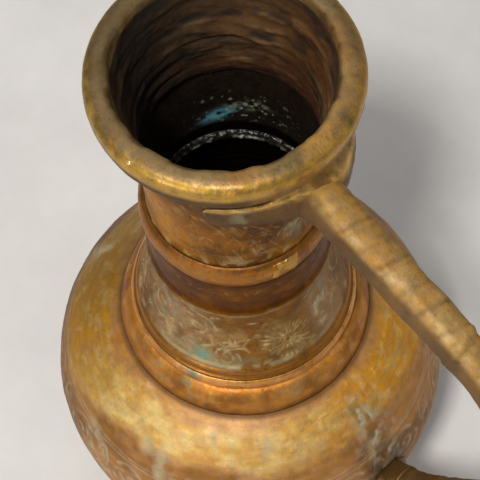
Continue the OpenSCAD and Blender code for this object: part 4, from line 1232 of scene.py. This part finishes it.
def make_saddle():
    """the clasp: a strap whose two wings thin out round the neck"""
    na, ns = 260, 72
    azs = np.linspace(-57.5, 57.5, na)
    kx = [-57.5, -52, -40, -25, -12, 0, 12, 22, 33, 45, 57.5]
    rout = np.interp(azs, kx, [38.0, 38.7, 39.3, 40.4, 43.0, 49.0, 51.0, 48.8, 46.8, 42.8, 38.6])
    zhi = np.interp(azs, kx, [284.2, 286.0, 286.8, 288.2, 291.0, 292.4, 292.8, 292.8, 292.2, 290.0, 286.0])
    zlo = np.interp(azs, kx, [277.0, 274.4, 273.8, 273.4, 273.0, 273.0, 274.5, 278.5, 279.5, 277.5, 277.5])
    ker = np.ones(15) / 15
    sm = lambda v: np.convolve(np.pad(v, 7, "edge"), ker, "valid")
    rout, zhi, zlo = sm(rout), sm(zhi), sm(zlo)
    a = 2 * np.pi * np.arange(ns) / ns
    c0 = np.sign(np.cos(a)) * np.abs(np.cos(a)) ** 0.5
    s0 = np.sign(np.sin(a)) * np.abs(np.sin(a)) ** 0.5
    V = np.zeros((na, ns, 3))
    N = np.zeros((na, ns, 3))
    for i, az in enumerate(np.radians(azs)):
        rc, rh = (36.9 + rout[i]) / 2, (rout[i] - 36.9) / 2
        zc, zh = (zhi[i] + zlo[i]) / 2, (zhi[i] - zlo[i]) / 2
        tp = min(1.0, 0.55 + (57.5 - abs(azs[i])) / 4.0)
        r = rc + c0 * rh * tp
        # the outer face leans: the foot of the strap is set in
        r = r - np.clip(-s0, 0, 1) * (c0 > 0) * rh * 0.35
        z = zc + s0 * zh * tp
        # fillet up to the mouth ring round the boss
        wz = float(sst(azs[i], -26, -8) * (1 - sst(azs[i], 40, 54)))
        z = z + wz * np.clip(s0, 0, 1) * 8.4 * np.clip((rout[i] - r) / 7.5, 0, 1) ** 1.25
        V[i, :, 0], V[i, :, 1], V[i, :, 2] = r * math.cos(az), r * math.sin(az), z
        N[i, :, 0], N[i, :, 1], N[i, :, 2] = np.cos(a) * math.cos(az), np.cos(a) * math.sin(az), np.sin(a)
    F = V.reshape(-1, 3); Nf = N.reshape(-1, 3)
    A = np.tile(a, na)
    AZ = np.repeat(azs, ns)
    outm = sst(np.cos(A), -0.2, 0.3)
    d = outm * (0.22 * fbm(F, 8, 3, 160) + 0.10 * fbm(F, 3, 2, 161) - 0.12 * np.clip(1 - cells(F, 5.5, 162) * 1.4, 0, 1))
    F = F + Nf * d[:, None]
    c, f1, f2, f3 = handle_paint(F)
    tope = np.exp(-((np.sin(A) - 0.82) / 0.16) ** 2) * (np.cos(A) > -0.1)
    face = sst(0.6 - np.sin(A), 0, 0.35)
    c = mixc(c, lin(98, 71, 42), face * 0.85)
    c = mixc(c, lin(72, 48, 28), face * sst(f1, -0.2, 0.6) * 0.6)
    c = mixc(c, lin(146, 142, 112), face * np.exp(-(angd(AZ, -38) / 5) ** 2) * sst(f2, -0.3, 0.4) * 0.6)
    # painted highlight along the strap's top edge
    c = mixc(c, lin(226, 184, 116), tope * sst(f2, -0.6, 0.3) * 0.85)
    c = mixc(c, lin(150, 138, 102), (AZ > -20) * (AZ < 2) * tope * sst(f3, -0.2, 0.5) * 0.5)
    s = surf(len(F), 0.8, 0.5, 0.45)
    setm(s, 1, tope, 0.32)
    faces = [tuple(q) for q in quads(na, ns, False, True)[:, ::-1]]
    faces.append(tuple(range(ns)))
    faces.append(tuple(range((na - 1) * ns, na * ns))[::-1])
    o = put("handle_clasp", warp(F), faces, c, s, M["handle"])
    import bmesh
    bm = bmesh.new(); bm.from_mesh(o.data)
    bmesh.ops.recalc_face_normals(bm, faces=bm.faces)
    bm.to_mesh(o.data); bm.free()
    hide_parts("handle_saddle")


def make_foot(tail, tt, fat, deep):
    # leaf-shaped pad hammered to the belly
    nu, nv = 90, 110
    v = np.linspace(-1, 1, nv)[:, None].repeat(nu, 1)
    u = np.linspace(-1, 1, nu)[None, :].repeat(nv, 0)
    half = 12.8 * np.clip(1 - np.abs(v) ** 1.9, 0, 1) ** 0.78 + 0.02
    z = 75 + 13.3 * v
    y = u * half
    rb = body_r(z)
    az = np.arcsin(np.clip(y / rb, -1, 1))
    ed = np.minimum((1 - np.abs(u)) * half, (1 - np.abs(v)) * 13.3 + 0.0)
    Q = np.stack([rb * np.cos(az), y, z], -1)
    q = Q.reshape(-1, 3)
    h = (2.5 * sst(ed, -0.2, 2.4)).ravel() + 0.22 * vnoise(q, 5, 3) * sst(ed.ravel(), 0.5, 3) - 0.12 * np.clip(1 - cells(q, 5.0, 5) * 1.4, 0, 1)
    # rises to meet the handle's tail
    cen = np.hypot(q[:, 1] / 8.0, (q[:, 2] - 81) / 8.0)
    h = h + 3.2 * np.exp(-cen ** 2 * 1.5)
    n3 = np.stack([np.cos(az).ravel(), np.sin(az).ravel(), 0.12 + 0 * q[:, 0]], 1)
    n3 /= np.linalg.norm(n3, axis=1)[:, None]
    top = q + n3 * h[:, None]
    bot = q - n3 * 0.25
    k = nu * nv
    F = [tuple(f) for f in quads(nv, nu, False, False)] + [tuple(int(i) + k for i in f[::-1]) for f in quads(nv, nu, False, False)]
    ring = list(range(nu)) + [nu * i + nu - 1 for i in range(1, nv)] + list(range(nu * nv - 2, nu * (nv - 1) - 1, -1)) + [nu * i for i in range(nv - 2, 0, -1)]
    for a_, b_ in zip(ring, ring[1:] + ring[:1]):
        F.append((a_, a_ + k, b_ + k, b_))
    pad = (np.vstack([top, bot]), F)
    # the stub that takes the handle's tail, swelling into the pad
    nl, ns = 26, 84
    a = 2 * np.pi * np.arange(ns) / ns
    c0 = np.sign(np.cos(a)) * np.abs(np.cos(a)) ** 0.66
    s0 = np.sign(np.sin(a)) * np.abs(np.sin(a)) ** 0.66
    V = np.zeros((nl, ns, 3))
    L0 = 18.0
    for i in range(nl):
        f = i / (nl - 1)
        p = np.array(tail) - np.array(tt) * 1.2 + np.array(tt) * L0 * f
        gw = 1.04 + 0.04 * f + 0.4 * f ** 3
        w, th = 15.0 * fat / 2 * gw, 15.0 * deep / 2 * (1.04 + 0.04 * f + 0.3 * f ** 3)
        V[i, :, 0] = p[0] - tt[1] * s0 * th
        V[i, :, 1] = c0 * w
        V[i, :, 2] = p[1] + tt[0] * s0 * th
    W = V.reshape(-1, 3)
    W = W + 0.3 * np.stack([fbm(W, 7, 3, 5), fbm(W, 7, 3, 6), fbm(W, 7, 3, 7)], 1)
    G = [tuple(f) for f in quads(nl, ns, False, True)]
    G.append(tuple(range(ns))[::-1]); G.append(tuple(range((nl - 1) * ns, nl * ns)))

    def col(P):
        c, f1, f2, f3 = handle_paint(P)
        c = mixc(c, lin(96, 70, 42), sst(f1, -0.3, 0.5) * 0.6)
        c = mixc(c, lin(66, 48, 30), sst(2.2 - (np.hypot(P[:, 0], P[:, 1]) - body_r(P[:, 2])), 0, 2.2) * 0.7)
        return c
    o = add_piece("handle_pad", [pad, (W, G)], col, (0.8, 0.48, 0.5), M["handle"])
    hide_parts("handle_foot")
    parts = []
    for sgn in (-1, 1):
        az = math.radians(4.6 * sgn)
        d = (math.cos(az), math.sin(az), -0.03)
        parts.append(dome("r", None, None, None, (0, 0, 68), d,
                          [(0, 93), (1.6, 93.0), (1.6, 95.2), (3.3, 95.3), (3.45, 95.8), (3.3, 96.6), (2.7, 97.3), (1.8, 97.9), (0.8, 98.2), (0, 98.25)], 36, 0.14, 11 + sgn))
        parts.append(dome("r", None, None, None, (0, 0, 68), d,
                          [(0, 91.6), (1.6, 91.6), (1.6, 91.1), (3.0, 91.0), (3.0, 90.5), (2.4, 89.8), (0, 89.3)], 24, 0.1, 21 + sgn))
    o = add_piece("handle_rivet_heads", parts, lambda P: mixc(np.tile(lin(168, 132, 76), (len(P), 1)), lin(96, 66, 38), sst(vnoise(P, 1.5, 3), 0.0, 0.7) * 0.7), (0.85, 0.4, 0.4), M["handle"])
    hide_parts("handle_rivets")


make_rim()
make_pin()
make_liner()
make_neck_upper()
make_bead()
make_patch()
make_seam()
make_neck_lower()
make_flare()
make_collar()
make_body()
make_base()
tail, tt, fat, deep = make_handle()
make_saddle()
make_foot(tail, tt, fat, deep)

# ------------------------------------------------------------------ stage
sc = bpy.context.scene


def turn(v):
    c, s = math.cos(VIEW_AZ), math.sin(VIEW_AZ)
    return Vector((v[0] * c - v[1] * s, v[0] * s + v[1] * c, v[2]))


fm = bpy.data.meshes.new("floor")
R = 6.0
fm.from_pydata([(-R, -R, 0), (R, -R, 0), (R, R, 0), (-R, R, 0)], [], [(0, 1, 2, 3)])
floor = bpy.data.objects.new("floor", fm)
sc.collection.objects.link(floor)
mf = bpy.data.materials.new("pale_floor")
mf.use_nodes = True
nt = mf.node_tree
bs = nt.nodes["Principled BSDF"]
bs.inputs["Roughness"].default_value = 0.85
tc = nt.nodes.new("ShaderNodeTexCoord")
n1 = nt.nodes.new("ShaderNodeTexNoise"); n1.inputs["Scale"].default_value = 7; n1.inputs["Detail"].default_value = 8; n1.inputs["Roughness"].default_value = 0.7
rp = nt.nodes.new("ShaderNodeValToRGB")
rp.color_ramp.elements[0].position = 0.3; rp.color_ramp.elements[0].color = (0.60, 0.585, 0.575, 1)
rp.color_ramp.elements[1].position = 0.7; rp.color_ramp.elements[1].color = (0.72, 0.705, 0.695, 1)
nt.links.new(tc.outputs["Object"], n1.inputs["Vector"])
nt.links.new(n1.outputs[0], rp.inputs[0])
nt.links.new(rp.outputs[0], bs.inputs["Base Color"])
fm.materials.append(mf)


def area(name, at, to, size, power, colour=(1, 1, 1), shape_y=None):
    l = bpy.data.lights.new(name, "AREA")
    l.energy = power
    l.color = colour
    l.size = size
    if shape_y:
        l.shape = "RECTANGLE"; l.size_y = shape_y
    o = bpy.data.objects.new(name, l)
    sc.collection.objects.link(o)
    o.location = turn(at)
    d = turn(to) - turn(at)
    o.rotation_euler = d.to_track_quat("-Z", "Y").to_euler()
    return o


area("key", (-0.296, -0.580, 1.56), (0, 0, 0.10), 0.20, 18.6, (1.0, 0.97, 0.925))
area("low_front", (-0.80, -1.00, 0.62), (0, 0, 0.20), 0.50, 5.0, (1.0, 0.965, 0.91))
area("back", (-0.30, 0.80, 1.3), (0, 0, 0.15), 0.9, 3.9, (1.0, 0.98, 0.95))
area("fill", (1.1, -0.7, 0.9), (0, 0, 0.15), 0.8, 1.1, (1.0, 0.97, 0.93))

w = bpy.data.worlds.new("room")
sc.world = w
w.use_nodes = True
bg = w.node_tree.nodes["Background"]
bg.inputs[0].default_value = (1.0, 0.99, 0.97, 1)
bg.inputs[1].default_value = 0.26

yaw, pitch, roll = 0.000345, 1.092012, -0.092144
C = Vector((0.0, -6.780714 * 0.04, 0.318 + 9.853552 * 0.04))
fw = Vector((math.sin(yaw) * math.cos(pitch), math.cos(yaw) * math.cos(pitch), -math.sin(pitch)))
rt = Vector((math.cos(yaw), -math.sin(yaw), 0))
up = rt.cross(fw)
cr, sr = math.cos(roll), math.sin(roll)
rt2, up2 = cr * rt + sr * up, -sr * rt + cr * up
rt2, up2, fw, C = turn(rt2), turn(up2), turn(fw), turn(C)
cam = bpy.data.cameras.new("view")
cam.sensor_width = 36
cam.lens = 105
cam.clip_start, cam.clip_end = 0.01, 50
co = bpy.data.objects.new("view", cam)
sc.collection.objects.link(co)
m = Matrix((rt2, up2, -fw)).transposed().to_4x4()
m.translation = C
co.matrix_world = m
sc.camera = co
sc.view_settings.view_transform = "Standard"
sc.view_settings.look = "None"

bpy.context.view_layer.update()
